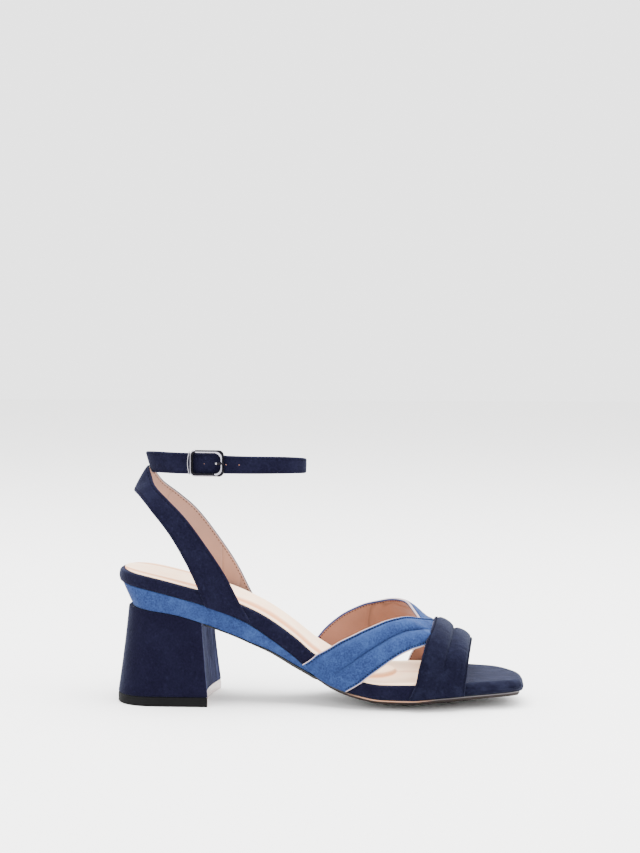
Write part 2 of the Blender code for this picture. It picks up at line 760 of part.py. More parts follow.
def make_buckle_frame(axes):
    """The frame, joined to the pin and the two arms that carry it behind the strap."""
    half_along, half_up = BUCKLE_LENGTH / 2.0, BUCKLE_HEIGHT / 2.0
    outer = rounded_box(half_along, half_up, BUCKLE_CORNER, 4)
    inner = rounded_box(half_along - BUCKLE_BAR, half_up - BUCKLE_BAR, BUCKLE_INNER_CORNER, 4)
    count = len(outer)
    seat = GAP + BUCKLE_STANDOFF

    def frame_place(u, v, w):
        index = round(u * count) % count
        along = outer[index][0] + (inner[index][0] - outer[index][0]) * v
        up = outer[index][1] + (inner[index][1] - outer[index][1]) * v
        ridge = math.sin(math.pi * v) * BUCKLE_RIDGE * w
        return buckle_place(axes, along, up, seat + BUCKLE_DEPTH * w + ridge)

    shares = [i / count for i in range(count)]
    mesh = solid((shares, even(3), [0.0, 1.0]), frame_place, closed=True)
    frame = add_object("buckle_frame", mesh, GUNMETAL)

    pin_end = half_up - BUCKLE_ARM_SINK

    def pin_place(u, v, w):
        out = pin_depth() + BUCKLE_PIN * (w - 0.5)
        return buckle_place(axes, BUCKLE_PIN * (u - 0.5), pin_end * (2.0 * v - 1.0), out)

    def arm_place(side):
        def place(u, v, w):
            up = side * (half_up - BUCKLE_ARM_SINK / 2.0 - BUCKLE_ARM * v)
            out = pin_depth() + (seat + BUCKLE_DEPTH / 2.0 - pin_depth()) * w
            return buckle_place(axes, BUCKLE_ARM * (u - 0.5), up, out)
        return place

    for name, place in (("pin", pin_place), ("upper_arm", arm_place(1.0)), ("lower_arm", arm_place(-1.0))):
        guide = add_object(name + "_guide", solid((even(1), even(2), even(1)), place), GUNMETAL)
        guide.hide_render = True
        guide.display_type = "WIRE"
        join = frame.modifiers.new(name, "BOOLEAN")
        join.operation = "UNION"
        join.solver = "EXACT"
        join.object = guide


def make_buckle_prong(axes):
    """The prong, from the pin behind the strap, out through its hole and over the front bar."""
    behind = pin_depth()
    over = GAP + BUCKLE_STANDOFF + BUCKLE_DEPTH + BUCKLE_RIDGE + GAP + PRONG_DIAMETER / 2.0
    through = prong_exit()
    route = (
        (BUCKLE_PIN / 2.0 + GAP, behind),
        (through - PRONG_BEND, behind),
        (through - 0.2 * PRONG_BEND, behind + 0.7 * PRONG_BEND),
        (through, -ANKLE_STRAP_THICKNESS / 2.0),
        (through + 0.2 * PRONG_BEND, over - 0.65 * PRONG_BEND),
        (through + 0.85 * PRONG_BEND, over - 0.07 * PRONG_BEND),
        (through + 1.85 * PRONG_BEND, over),
        (BUCKLE_LENGTH / 2.0 + PRONG_OVERHANG, over),
    )
    curve = bpy.data.curves.new("buckle_prong", "CURVE")
    curve.dimensions = "3D"
    curve.bevel_depth = PRONG_DIAMETER / 2.0
    curve.bevel_resolution = 2
    curve.use_fill_caps = True
    spline = curve.splines.new("POLY")
    spline.points.add(len(route) - 1)
    for point, (along, out) in zip(spline.points, route):
        point.co = (*buckle_place(axes, along, 0.0, out), 1.0)
    curve.materials.append(finish_material(GUNMETAL))
    prong = bpy.data.objects.new("buckle_prong", curve)
    bpy.context.scene.collection.objects.link(prong)


def build():
    """Make the whole sandal."""
    clear_scene()
    make_outsole()
    make_wedge()
    make_midsole()
    make_insole()
    make_heel()
    make_cross_straps()
    make_toe_band()
    make_heel_sling()
    make_ankle_strap()
    axes = buckle_axes()
    make_buckle_frame(axes)
    make_buckle_prong(axes)


build()
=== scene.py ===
"""Block heel sandal, right shoe: finishes and fine surfaces around its fixed solids.

Metres, +X to the toe, +Y to the inner side of the foot, +Z up. The origin is on the floor,
under the middle of the block heel.
"""
import logging
import math
from dataclasses import dataclass, replace
from enum import Enum
from typing import Callable, NamedTuple, Optional, Sequence

import bmesh
import bpy
import numpy as np
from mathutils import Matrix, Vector


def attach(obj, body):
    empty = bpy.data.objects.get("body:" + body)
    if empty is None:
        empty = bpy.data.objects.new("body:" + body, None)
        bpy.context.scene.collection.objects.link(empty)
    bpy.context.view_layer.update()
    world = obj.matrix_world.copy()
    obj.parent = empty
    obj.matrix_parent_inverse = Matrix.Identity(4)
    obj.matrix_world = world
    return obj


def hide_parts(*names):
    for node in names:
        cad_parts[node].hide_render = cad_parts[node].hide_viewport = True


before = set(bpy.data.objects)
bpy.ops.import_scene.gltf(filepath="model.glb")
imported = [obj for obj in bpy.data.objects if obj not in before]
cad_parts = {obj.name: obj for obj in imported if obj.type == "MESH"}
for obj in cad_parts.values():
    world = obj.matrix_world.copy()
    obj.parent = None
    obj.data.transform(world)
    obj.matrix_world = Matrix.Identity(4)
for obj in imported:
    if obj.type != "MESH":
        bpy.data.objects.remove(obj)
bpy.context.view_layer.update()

log = logging.getLogger("sandal")

Array = np.ndarray
Amount = float | Array
Colour = tuple[float, float, float]
Surface = Callable[[Array, Array], Array]

BODY = "root"
# Name of the attribute that holds the share of painted shade.
CHANNEL_SHADE = "hollow"
# Clearance between two pieces.
GAP = 0.0003
# How far in front of the seat's very back an outline starts.
BACK_STEP = 1e-5
# Points closer than this are merged.
MERGE = 2e-6
# Steps along u and v that a surface's directions are measured over.
STEP_U = 0.003
STEP_V = 0.01


class Section(NamedTuple):
    """A section of the sole: shares of the sizes named in SoleForm, at a share of its length."""

    along: float
    outer: float
    inner: float
    rise: float
    spring: float
    wrap: float
    wedge: float
    outsole: float
    crown: float


SECTIONS = (
    Section(0.000, 0.320, 0.320, 1.000, 0.00, 0.95, 1.00, 0.40, 0.00),
    Section(0.079, 0.336, 0.336, 0.949, 0.00, 0.94, 0.89, 0.40, 0.00),
    Section(0.170, 0.342, 0.342, 0.867, 0.00, 0.95, 0.75, 0.40, 0.00),
    Section(0.254, 0.338, 0.330, 0.776, 0.00, 0.97, 0.78, 0.42, 0.00),
    Section(0.328, 0.300, 0.286, 0.652, 0.00, 1.13, 0.74, 0.48, 0.00),
    Section(0.387, 0.276, 0.266, 0.505, 0.00, 1.36, 0.50, 0.75, 0.00),
    Section(0.445, 0.266, 0.266, 0.343, 0.00, 1.42, 0.31, 1.00, 0.00),
    Section(0.495, 0.281, 0.310, 0.186, 0.00, 1.46, 0.06, 1.00, 0.00),
    Section(0.545, 0.323, 0.380, 0.087, 0.00, 1.24, 0.06, 1.00, 0.45),
    Section(0.599, 0.380, 0.470, 0.034, 0.00, 0.98, 0.12, 1.00, 0.85),
    Section(0.661, 0.421, 0.544, 0.003, 0.00, 0.99, 0.12, 1.00, 1.00),
    Section(0.732, 0.430, 0.570, 0.000, 0.02, 1.03, 0.12, 1.00, 1.00),
    Section(0.802, 0.396, 0.557, 0.000, 0.34, 0.97, 0.12, 1.00, 1.00),
    Section(0.877, 0.329, 0.519, 0.000, 0.60, 0.86, 0.12, 1.00, 0.90),
    Section(0.944, 0.266, 0.456, 0.000, 0.81, 0.78, 0.12, 1.00, 0.75),
    Section(1.000, 0.203, 0.354, 0.000, 1.00, 0.70, 0.12, 1.00, 0.60),
)


class Crest(NamedTuple):
    """The last's crest over the forefoot, as a share of SoleForm.crest_height."""

    along: float
    height: float


CRESTS = (
    Crest(0.420, 1.66),
    Crest(0.545, 1.38),
    Crest(0.630, 1.17),
    Crest(0.703, 1.00),
    Crest(0.752, 0.84),
    Crest(0.794, 0.710),
    Crest(0.852, 0.562),
    Crest(0.900, 0.46),
)


class Edge(NamedTuple):
    """A strap's edges on the last, at a share of the half turn over it; lift in thicknesses."""

    turn: float
    rear: float
    front: float
    lift: float


OUTER_STRAP = (
    Edge(0.000, 0.4665, 0.5775, 0.00),
    Edge(0.060, 0.5135, 0.6335, 0.00),
    Edge(0.130, 0.5630, 0.6915, 0.00),
    Edge(0.200, 0.6165, 0.7385, 0.25),
    Edge(0.260, 0.6620, 0.7740, 0.80),
    Edge(0.310, 0.6980, 0.7970, 0.95),
    Edge(0.420, 0.7505, 0.8350, 0.95),
    Edge(0.560, 0.7850, 0.8520, 0.95),
)
INNER_STRAP = (
    Edge(0.300, 0.7850, 0.8560, 0.00),
    Edge(0.380, 0.7600, 0.8560, 0.00),
    Edge(0.500, 0.7220, 0.8520, 0.00),
    Edge(0.600, 0.6990, 0.8380, 0.00),
    Edge(0.700, 0.6500, 0.7960, 0.00),
    Edge(0.780, 0.5920, 0.7420, 0.00),
    Edge(0.860, 0.5380, 0.6800, 0.00),
    Edge(0.940, 0.4950, 0.6120, 0.00),
    Edge(1.000, 0.4680, 0.5720, 0.00),
)
TOE_BAND = (
    Edge(0.000, 0.7270, 0.8590, 0.00),
    Edge(0.050, 0.7440, 0.8620, 0.00),
    Edge(0.110, 0.7500, 0.8650, 0.10),
    Edge(0.170, 0.7570, 0.8660, 0.90),
    Edge(0.220, 0.7625, 0.8680, 1.80),
    Edge(0.280, 0.7690, 0.8700, 2.25),
    Edge(0.400, 0.7790, 0.8730, 2.30),
    Edge(0.560, 0.7820, 0.8750, 2.30),
    Edge(0.620, 0.7790, 0.8750, 2.00),
    Edge(0.680, 0.7760, 0.8740, 1.50),
    Edge(0.760, 0.7680, 0.8720, 1.25),
    Edge(0.850, 0.7490, 0.8690, 0.60),
    Edge(0.930, 0.7190, 0.8660, 0.10),
    Edge(1.000, 0.7000, 0.8620, 0.00),
)


class Rung(NamedTuple):
    """Rear and front edge of half the sling: shares of its reach, half width and height."""

    turn: float
    rear_ahead: float
    rear_aside: float
    rear_up: float
    front_ahead: float
    front_aside: float
    front_up: float


SLING = (
    Rung(0.000, 1.250, 1.035, 0.418, 2.560, 0.920, 0.356),
    Rung(0.120, 1.030, 1.030, 0.496, 2.240, 0.990, 0.443),
    Rung(0.300, 0.655, 1.000, 0.608, 1.831, 1.000, 0.557),
    Rung(0.500, 0.150, 0.960, 0.728, 1.228, 0.985, 0.687),
    Rung(0.680, -0.340, 0.860, 0.812, 0.606, 0.925, 0.802),
    Rung(0.800, -0.640, 0.690, 0.856, 0.130, 0.800, 0.866),
    Rung(0.900, -0.870, 0.430, 0.882, -0.340, 0.540, 0.929),
    Rung(0.955, -0.985, 0.230, 0.889, -0.475, 0.330, 0.966),
    Rung(0.980, -1.025, 0.110, 0.891, -0.575, 0.200, 0.994),
    Rung(1.000, -1.045, 0.000, 0.892, -0.626, 0.000, 1.000),
)


class Turn(NamedTuple):
    """The ankle strap around its loop: shares of its width, and of its lean at the back."""

    around: float
    width: float
    drop: float
    lean: float


ANKLE_TURNS = (
    Turn(0.000, 1.20, 0.03, 1.0),
    Turn(0.100, 1.22, -0.05, 0.5),
    Turn(0.180, 1.19, -0.06, 0.0),
    Turn(0.235, 1.17, -0.06, 0.0),
    Turn(0.262, 1.02, -0.01, 0.0),
    Turn(0.380, 0.96, 0.05, 0.0),
    Turn(0.500, 0.86, 0.17, 0.1),
    Turn(0.620, 0.84, 0.30, 0.0),
    Turn(0.750, 0.92, 0.28, 0.0),
    Turn(0.900, 1.10, 0.14, 0.5),
    Turn(1.000, 1.20, 0.03, 1.0),
)


class Curve:
    """A smooth curve through one column of a table, without overshoot."""

    def __init__(self, keys: Sequence[float], values: Sequence[float]) -> None:
        """Work out the tangents.

        Args:
            keys: Rising places along the table.
            values: The column's value at each place.
        """
        self.keys = np.asarray(keys, float)
        self.values = np.asarray(values, float)
        slopes = np.diff(self.values) / np.diff(self.keys)
        before, after = slopes[:-1], slopes[1:]
        total = before + after
        total[total == 0.0] = 1.0
        inner = np.where(before * after > 0.0, 2.0 * before * after / total, 0.0)
        self.tangents = np.concatenate([slopes[:1], inner, slopes[-1:]])

    @classmethod
    def of(cls, table: Sequence[NamedTuple], key: str, name: str) -> "Curve":
        """Read one column of a table.

        Args:
            table: The rows.
            key: Name of the column of places.
            name: Name of the column of values.

        Returns:
            The curve.
        """
        return cls([getattr(row, key) for row in table], [getattr(row, name) for row in table])

    def __call__(self, at: Array) -> Array:
        """Read the curve.

        Args:
            at: Places along it, held to its ends.

        Returns:
            Its values there.
        """
        at = np.clip(at, self.keys[0], self.keys[-1])
        index = np.clip(np.searchsorted(self.keys, at, side="right") - 1, 0, len(self.keys) - 2)
        span = self.keys[index + 1] - self.keys[index]
        t = (at - self.keys[index]) / span
        t2, t3 = t * t, t * t * t
        return ((2 * t3 - 3 * t2 + 1) * self.values[index] + (t3 - 2 * t2 + t) * span * self.tangents[index]
                + (3 * t2 - 2 * t3) * self.values[index + 1] + (t3 - t2) * span * self.tangents[index + 1])


def soft_step(value: Array) -> Array:
    """Smooth step from 0 to 1."""
    value = np.clip(value, 0.0, 1.0)
    return value * value * (3.0 - 2.0 * value)


def rounded(distance: Array, radius: float, power: float = 2.0) -> Array:
    """Share of the full width at a distance from a rounded end."""
    inside = np.clip(distance / radius, 0.0, 1.0)
    return (1.0 - (1.0 - inside) ** power) ** (1.0 / power)


def unit(vectors: Array) -> Array:
    """Vectors of length one, along the last axis."""
    return vectors / np.maximum(np.linalg.norm(vectors, axis=-1, keepdims=True), 1e-12)


def quarter_turn(steps: int) -> list[tuple[float, float]]:
    """Shares of a rounding's radius along it: one falls from 1 to 0, one rises from 0 to 1."""
    turns = [math.pi / 2.0 * i / steps for i in range(steps + 1)]
    return [(1.0 - math.sin(turn), 1.0 - math.cos(turn)) for turn in turns]


def even_places(start: float, stop: float, side: Callable[[Array], Array], samples: int, count: int,
                short: float = 0.0) -> Array:
    """Places along x, evenly spaced along an outline.

    Args:
        start: First x.
        stop: Last x.
        side: The outline's y at places x.
        samples: How finely its length is measured.
        count: How many places.
        short: How far before the outline's end the last place lies.

    Returns:
        The places.
    """
    share = 0.5 - 0.5 * np.cos(np.linspace(0.0, np.pi, samples))
    dense = start + (stop - start) * share
    run = np.concatenate([[0.0], np.cumsum(np.hypot(np.diff(dense), np.diff(side(dense))))])
    return np.interp(np.linspace(0.0, run[-1] - short, count), run, dense)


def place_object(name: str, data: bpy.types.ID) -> bpy.types.Object:
    """Put new data into the scene, as an object at the origin."""
    placed = bpy.data.objects.new(name, data)
    bpy.context.scene.collection.objects.link(placed)
    return placed


@dataclass
class SoleForm:
    """The sole's outline and levels, and the last that the straps lie on."""

    length: float = 0.2405
    back: float = -0.031
    ball_width: float = 0.079
    seat_rise: float = 0.0652
    wrap_depth: float = 0.0080
    wedge_depth: float = 0.0139
    outsole_depth: float = 0.0019
    edge_lift: float = 0.0046
    sole_crown: float = 0.0052
    toe_spring: float = 0.0037
    seat_round: float = 0.027
    seat_fullness: float = 2.4
    outer_toe_round: float = 0.0095
    inner_toe_round: float = 0.020
    toe_flat: float = 0.016
    toe_bulge: float = 0.0006
    wedge_share: float = 0.488
    wedge_blend: float = 0.0040
    crest_height: float = 0.0585
    back_tuck: float = 0.0010
    back_reach: float = 0.016
    last_fullness: float = 2.2
    side_turn: float = 0.04
    samples: int = 3000

    def __post_init__(self) -> None:
        """Read the tables."""
        names = Section._fields[1:]
        self.columns = {name: Curve.of(SECTIONS, "along", name) for name in names}
        self.crest = Curve.of(CRESTS, "along", "height")
        self.tip = self.back + self.length
        self.wedge_front = self.back + self.wedge_share * self.length

    def section(self, name: str, x: Array) -> Array:
        """A column of SECTIONS at places x."""
        return self.columns[name]((x - self.back) / self.length)

    def outline(self, x: Array, side: int) -> Array:
        """The wrap's side at places x, outer (-1) or inner (+1).

        Args:
            x: Places along the shoe.
            side: -1 or +1.

        Returns:
            y of the outline.
        """
        width = self.ball_width * self.section("outer" if side < 0 else "inner", x)
        width = width * rounded(x - self.back, self.seat_round, self.seat_fullness)
        to_tip = self.tip - x
        corner = self.outer_toe_round if side < 0 else self.inner_toe_round
        flat = self.toe_flat / 2.0
        turned = flat + (width - flat) * rounded(to_tip, corner)
        return side * np.where(to_tip < corner, turned, width)

    def middle(self, x: Array) -> Array:
        """y half way between the two sides."""
        return 0.5 * (self.outline(x, -1) + self.outline(x, 1))

    def wrap_base(self, x: Array) -> Array:
        """Lower edge of the suede wrap at the side."""
        low = self.edge_lift + self.outsole_depth + GAP
        return low + self.seat_rise * self.section("rise", x) + self.toe_spring * self.section("spring", x)

    def wrap_top(self, x: Array) -> Array:
        """Upper edge of the suede wrap at the side."""
        return self.wrap_base(x) + self.wrap_depth * self.section("wrap", x)

    def wedge_base(self, x: Array) -> Array:
        """Lower edge of the wedge."""
        return self.wrap_base(x) - GAP - self.wedge_depth * self.section("wedge", x)

    def crown(self, x: Array, y: Array) -> Array:
        """How far the sole's middle hangs below its edge."""
        outer, inner = self.outline(x, -1), self.outline(x, 1)
        off = np.minimum(np.abs(2.0 * (y - outer) / np.maximum(inner - outer, 1e-6) - 1.0), 1.0)
        return self.sole_crown * self.section("crown", x) * (1.0 - off ** 2)

    def sole_top(self, x: Array, y: Array) -> Array:
        """Upper face of the outsole."""
        under_wedge = self.wedge_base(x) - GAP
        under_wrap = self.wrap_base(x) - GAP
        blend = soft_step((x - self.wedge_front - GAP) / self.wedge_blend)
        edge = under_wedge + (under_wrap - under_wedge) * blend
        return np.maximum(edge - self.crown(x, y), self.outsole_depth * self.section("outsole", x))

    def sole_bottom(self, x: Array, y: Array) -> Array:
        """Lower face of the outsole, flat on the floor under the ball."""
        return np.maximum(self.sole_top(x, y) - self.outsole_depth * self.section("outsole", x), 0.0)

    def last_point(self, x: Array, turn: Array, out: Array) -> Array:
        """Points out from the last.

        Args:
            x: Places along the shoe.
            turn: 0 at the outer foot of the last, 0.5 on its crest, 1 inside.
            out: Distance out from it.

        Returns:
            The points.
        """
        outer = self.outline(x, -1) - 2.0 * GAP - out
        inner = self.outline(x, 1) + 2.0 * GAP + out
        foot = self.wrap_base(x) + GAP
        shoulder = self.wrap_top(x) + GAP
        crest = self.crest_height * self.crest((x - self.back) / self.length) + out
        to_foot = np.minimum(turn, 1.0 - turn)
        angle = np.pi * np.clip((turn - self.side_turn) / (1.0 - 2.0 * self.side_turn), 0.0, 1.0)
        swing = np.sign(np.cos(angle)) * np.abs(np.cos(angle)) ** (2.0 / self.last_fullness)
        lift = np.abs(np.sin(angle)) ** (2.0 / self.last_fullness)
        y = 0.5 * (outer + inner) - 0.5 * (inner - outer) * swing
        z = shoulder + (crest - shoulder) * lift
        upright = to_foot < self.side_turn
        y = np.where(upright, np.where(turn < 0.5, outer, inner), y)
        z = np.where(upright, foot + (shoulder - foot) * to_foot / self.side_turn, z)
        return np.stack([x + 0.0 * z, y, z], axis=-1)

    def plan_loop(self, start: float, stop: float, count: int, front: int, back: int = 0) -> Array:
        """Closed outline seen from above, along the outer side to the front and back inside.

        Args:
            start: x where it begins.
            stop: x where it ends.
            count: Points along each side.
            front: Points across the front edge, between the sides.
            back: Points across the back edge, where it has one.

        Returns:
            The outline's x and y.
        """
        xs = even_places(start, stop, lambda x: self.outline(x, -1), self.samples, count)
        outer = np.stack([xs, self.outline(xs, -1)], axis=1)
        inner = np.stack([xs, self.outline(xs, 1)], axis=1)[::-1]
        step = np.linspace(0.0, 1.0, front + 2)[1:-1, None]
        across = outer[-1] + (inner[0] - outer[-1]) * step
        across[:, 0] += self.toe_bulge * (1.0 - (2.0 * step[:, 0] - 1.0) ** 2)
        parts = [outer, across, inner]
        if back:
            step = np.linspace(0.0, 1.0, back + 2)[1:-1, None]
            parts.append(inner[-1] + (outer[0] - inner[-1]) * step)
        else:
            parts[2] = inner[:-1]
        loop = np.concatenate(parts)
        loop[:, 0] += self.back_tuck * self.at_back(loop[:, 0])
        return loop

    def at_back(self, x: Array) -> Array:
        """1 at the very back of the seat, fading to 0 in front of it."""
        return soft_step((self.back + self.back_reach - x) / self.back_reach)

    def spine(self, loop: Array, rear_reach: float, front_reach: float) -> Array:
        """The middle line that rings close in on.

        Args:
            loop: An outline.
            rear_reach: How far the line stays from its back.
            front_reach: How far it stays from its front.

        Returns:
            A point for each point of the outline.
        """
        x = np.clip(loop[:, 0], loop[:, 0].min() + rear_reach, loop[:, 0].max() - front_reach)
        return np.stack([x, self.middle(x)], axis=1)


def inset_loop(loop: Array, distance: Amount) -> Array:
    """A closed outline moved inwards, by one distance or by one for each point."""
    along = unit(np.roll(loop, -1, axis=0) - np.roll(loop, 1, axis=0))
    return loop + np.stack([-along[:, 1], along[:, 0]], axis=1) * np.reshape(distance, (-1, 1))


class MeshSheet:
    """Grids of points gathered into one mesh."""

    def __init__(self) -> None:
        """Start with nothing."""
        self.points: list[Array] = []
        self.faces: list[tuple[int, ...]] = []
        self.slots: list[int] = []
        self.count = 0

    def grid(self, points: Array, slots: Optional[Sequence[int] | Array] = None,
             close_rows: bool = False, close_columns: bool = False, caps: bool = False) -> None:
        """Add the faces between rows and columns of points.

        Args:
            points: Rows by columns by 3.
            slots: Material slot of each strip between two columns, or of each strip of each row.
            close_rows: The last row joins the first.
            close_columns: The last column joins the first.
            caps: Close the first and last row with a face each.
        """
        rows, columns = points.shape[:2]
        first = self.count
        self.points.append(points.reshape(-1, 3))
        self.count += rows * columns
        strips = columns if close_columns else columns - 1
        chosen = np.broadcast_to(0 if slots is None else np.asarray(slots)[..., :strips], (rows, strips))
        for i in range(rows if close_rows else rows - 1):
            here, there = first + i * columns, first + ((i + 1) % rows) * columns
            for j in range(strips):
                after = (j + 1) % columns
                self.faces.append((here + j, here + after, there + after, there + j))
                self.slots.append(int(chosen[i, j]))
        if caps:
            last = first + (rows - 1) * columns
            self.faces.append(tuple(range(first, first + columns)))
            self.faces.append(tuple(reversed(range(last, last + columns))))
            self.slots += [0, 0]

    def build(self, name: str, finishes: Sequence["Finish"], sharp: float = 50.0) -> bpy.types.Object:
        """Merge the doubles, turn the faces outwards and put the mesh in the scene.

        Args:
            name: The object's name.
            finishes: One for each slot.
            sharp: Edges over this many degrees stay sharp.

        Returns:
            The object, at the origin.
        """
        mesh = bpy.data.meshes.new(name)
        mesh.from_pydata(np.concatenate(self.points).tolist(), [], self.faces)
        mesh.polygons.foreach_set("material_index", np.asarray(self.slots, np.int32))
        bm = bmesh.new()
        bm.from_mesh(mesh)
        bmesh.ops.remove_doubles(bm, verts=bm.verts[:], dist=MERGE)
        bmesh.ops.dissolve_degenerate(bm, edges=bm.edges[:], dist=0.5 * MERGE)
        bmesh.ops.recalc_face_normals(bm, faces=bm.faces[:])
        bm.to_mesh(mesh)
        bm.free()
        for finish in finishes:
            mesh.materials.append(finish.material())
        mesh.shade_smooth()
        mesh.set_sharp_from_angle(angle=math.radians(sharp))
        return place_object(name, mesh)


def ring_mesh(name: str, rings: Sequence[Array], finishes: Sequence["Finish"],
              slots: Optional[Sequence[int]] = None) -> bpy.types.Object:
    """A closed mesh from rings of points.

    Args:
        name: The object's name.
        rings: The rings, the first and last of them closed in on a line.
        finishes: One for each slot.
        slots: Slot of the strip after each point of a ring.

    Returns:
        The object, at the origin.
    """
    sheet = MeshSheet()
    sheet.grid(np.stack(rings), slots, close_columns=True)
    return sheet.build(name, finishes, sharp=60.0)


def report(piece: bpy.types.Object, slot: str, *nodes: str) -> None:
    """Let a piece ride, hide the solids that it stands for, and log it.

    Args:
        piece: The piece.
        slot: The record's material slot; not used.
        nodes: The solids that it replaces.
    """
    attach(piece, BODY)
    if nodes:
        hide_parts(*nodes)
    log.info("%s: %d faces", piece.name, len(piece.data.polygons))


class NodeSheet:
    """A material's node tree, built node by node."""

    def __init__(self, name: str) -> None:
        """Start a material with its shader and output.

        Args:
            name: The material's name.
        """
        self.material = bpy.data.materials.new(name)
        self.material.use_nodes = True
        self.tree = self.material.node_tree
        self.shader = self.tree.nodes["Principled BSDF"]
        self.place = self.add("ShaderNodeTexCoord").outputs["Object"]

    def add(self, kind: str, **inputs: object) -> bpy.types.Node:
        """Add a node.

        Args:
            kind: Its type.
            inputs: Values or sockets for its inputs, by name with _ for a space.

        Returns:
            The node.
        """
        node = self.tree.nodes.new(kind)
        for name, value in inputs.items():
            self.feed(node.inputs[name.replace("_", " ")], value)
        return node

    def feed(self, socket: bpy.types.NodeSocket, value: object) -> None:
        """Give a socket a value, or a link from another socket."""
        if isinstance(value, bpy.types.NodeSocket):
            self.tree.links.new(value, socket)
        else:
            socket.default_value = value

    def noise(self, size: float, detail: float = 2.0, rough: float = 0.5,
              stretch: Optional[tuple[float, float, float]] = None) -> bpy.types.NodeSocket:
        """Noise on the piece's own coordinates.

        Args:
            size: Size of its grains, in metres.
            detail: Octaves.
            rough: Weight of the finer ones.
            stretch: Scale along X, Y and Z, small where grains are long.

        Returns:
            Its value.
        """
        place = self.place
        if stretch:
            place = self.add("ShaderNodeMapping", Vector=place, Scale=stretch).outputs[0]
        node = self.add("ShaderNodeTexNoise", Vector=place, Scale=1.0 / size, Detail=detail, Roughness=rough)
        return node.outputs["Fac"]

    def span(self, value: bpy.types.NodeSocket, low: float, high: float,
             to_low: float = 0.0, to_high: float = 1.0) -> bpy.types.NodeSocket:
        """A value stretched from one range to another, and held in it.

        Args:
            value: The value.
            low: Start of its range.
            high: End of its range.
            to_low: What the start becomes.
            to_high: What the end becomes.

        Returns:
            The stretched value.
        """
        node = self.add("ShaderNodeMapRange", Value=value, From_Min=low, From_Max=high, To_Min=to_low,
                        To_Max=to_high)
        return node.outputs[0]

    def mix(self, share: object, first: object, second: object) -> bpy.types.NodeSocket:
        """A mix of two colours.

        Args:
            share: Share of the second, a number or a socket.
            first: A colour or a socket.
            second: A colour or a socket.

        Returns:
            The mixed colour.
        """
        node = self.tree.nodes.new("ShaderNodeMix")
        node.data_type = "RGBA"
        self.feed(node.inputs["Factor"], share)
        for socket, value in ((node.inputs[6], first), (node.inputs[7], second)):
            self.feed(socket, value if isinstance(value, bpy.types.NodeSocket) else (*value, 1.0))
        return node.outputs[2]

    def math(self, operation: str, first: object, second: object) -> bpy.types.NodeSocket:
        """A sum, product or other operation on two values.

        Args:
            operation: Its name in Blender.
            first: A number or a socket.
            second: A number or a socket.

        Returns:
            The result.
        """
        node = self.tree.nodes.new("ShaderNodeMath")
        node.operation = operation
        for socket, value in zip(node.inputs, (first, second)):
            self.feed(socket, value)
        return node.outputs[0]

    def bump(self, height: bpy.types.NodeSocket, depth: float, strength: float = 1.0,
             under: Optional[bpy.types.NodeSocket] = None) -> bpy.types.NodeSocket:
        """A normal raised by a height.

        Args:
            height: The height, from 0 to 1.
            depth: What a height of 1 is, in metres.
            strength: Share of the relief.
            under: The normal that it lies on, if not the surface's own.

        Returns:
            The normal.
        """
        node = self.add("ShaderNodeBump", Height=height, Distance=depth, Strength=strength)
        if under is not None:
            self.tree.links.new(under, node.inputs["Normal"])
        return node.outputs[0]

    def shade(self, **inputs: object) -> bpy.types.Material:
        """Set the shader's inputs.

        Args:
            inputs: Values or sockets by name with _ for a space.

        Returns:
            The finished material.
        """
        for name, value in inputs.items():
            self.feed(self.shader.inputs[name.replace("_", " ")], value)
        return self.material


@dataclass(frozen=True)
class Suede:
    """Suede with a short nap, brushed lighter and darker in patches, with a painted highlight where it faces
    up.
    """

    deep: Colour
    base: Colour
    # The light nap colour of the brushed patches and clumps, also used as the painted highlight on up-facing
    # faces.
    bloom: Colour
    nap: float = 0.0010
    patch: float = 0.010
    patch_share: float = 0.35
    stretch: tuple[float, float, float] = (1.0, 1.0, 1.0)
    sheen: float = 0.10
    sheen_tint: Colour = (0.62, 0.70, 1.0)
    # Share of the painted highlight on faces that look up.
    lift: float = 0.5
    clump: float = 2.6
    clump_share: float = 0.40

    def material(self, name: str) -> bpy.types.Material:
        """The material, under a name."""
        sheet = NodeSheet(name)
        nap = sheet.noise(self.nap, 4.0, 0.62, self.stretch)
        patches = sheet.noise(self.patch, 4.0, 0.62, self.stretch)
        clumps = sheet.noise(self.nap * self.clump, 3.0, 0.6, self.stretch)
        # Painted highlight: faces that look up are mixed towards the light colour, in patches.
        facing = sheet.add("ShaderNodeNewGeometry").outputs["Normal"]
        upward = sheet.add("ShaderNodeSeparateXYZ", Vector=facing).outputs["Z"]
        upward = sheet.span(upward, 0.15, 0.95, 0.0, self.lift)
        colour = sheet.mix(sheet.span(nap, 0.34, 0.64), self.deep, self.base)
        brushed = sheet.span(patches, 0.46, 0.68, 0.0, self.patch_share)
        painted_top_highlight = sheet.math("MULTIPLY", upward, sheet.span(patches, 0.38, 0.62, 0.25, 1.0))
        colour = sheet.mix(sheet.math("MAXIMUM", brushed, painted_top_highlight), colour, self.bloom)
        colour = sheet.mix(sheet.span(clumps, 0.58, 0.80, 0.0, self.clump_share), colour, self.bloom)
        relief = sheet.bump(clumps, 0.00030, 0.6)
        relief = sheet.bump(nap, 0.00040, 0.8, relief)
        return sheet.shade(Base_Color=colour, Roughness=0.95, Specular_IOR_Level=0.02, Normal=relief,
                           Sheen_Weight=self.sheen, Sheen_Roughness=0.35, Sheen_Tint=(*self.sheen_tint, 1.0))


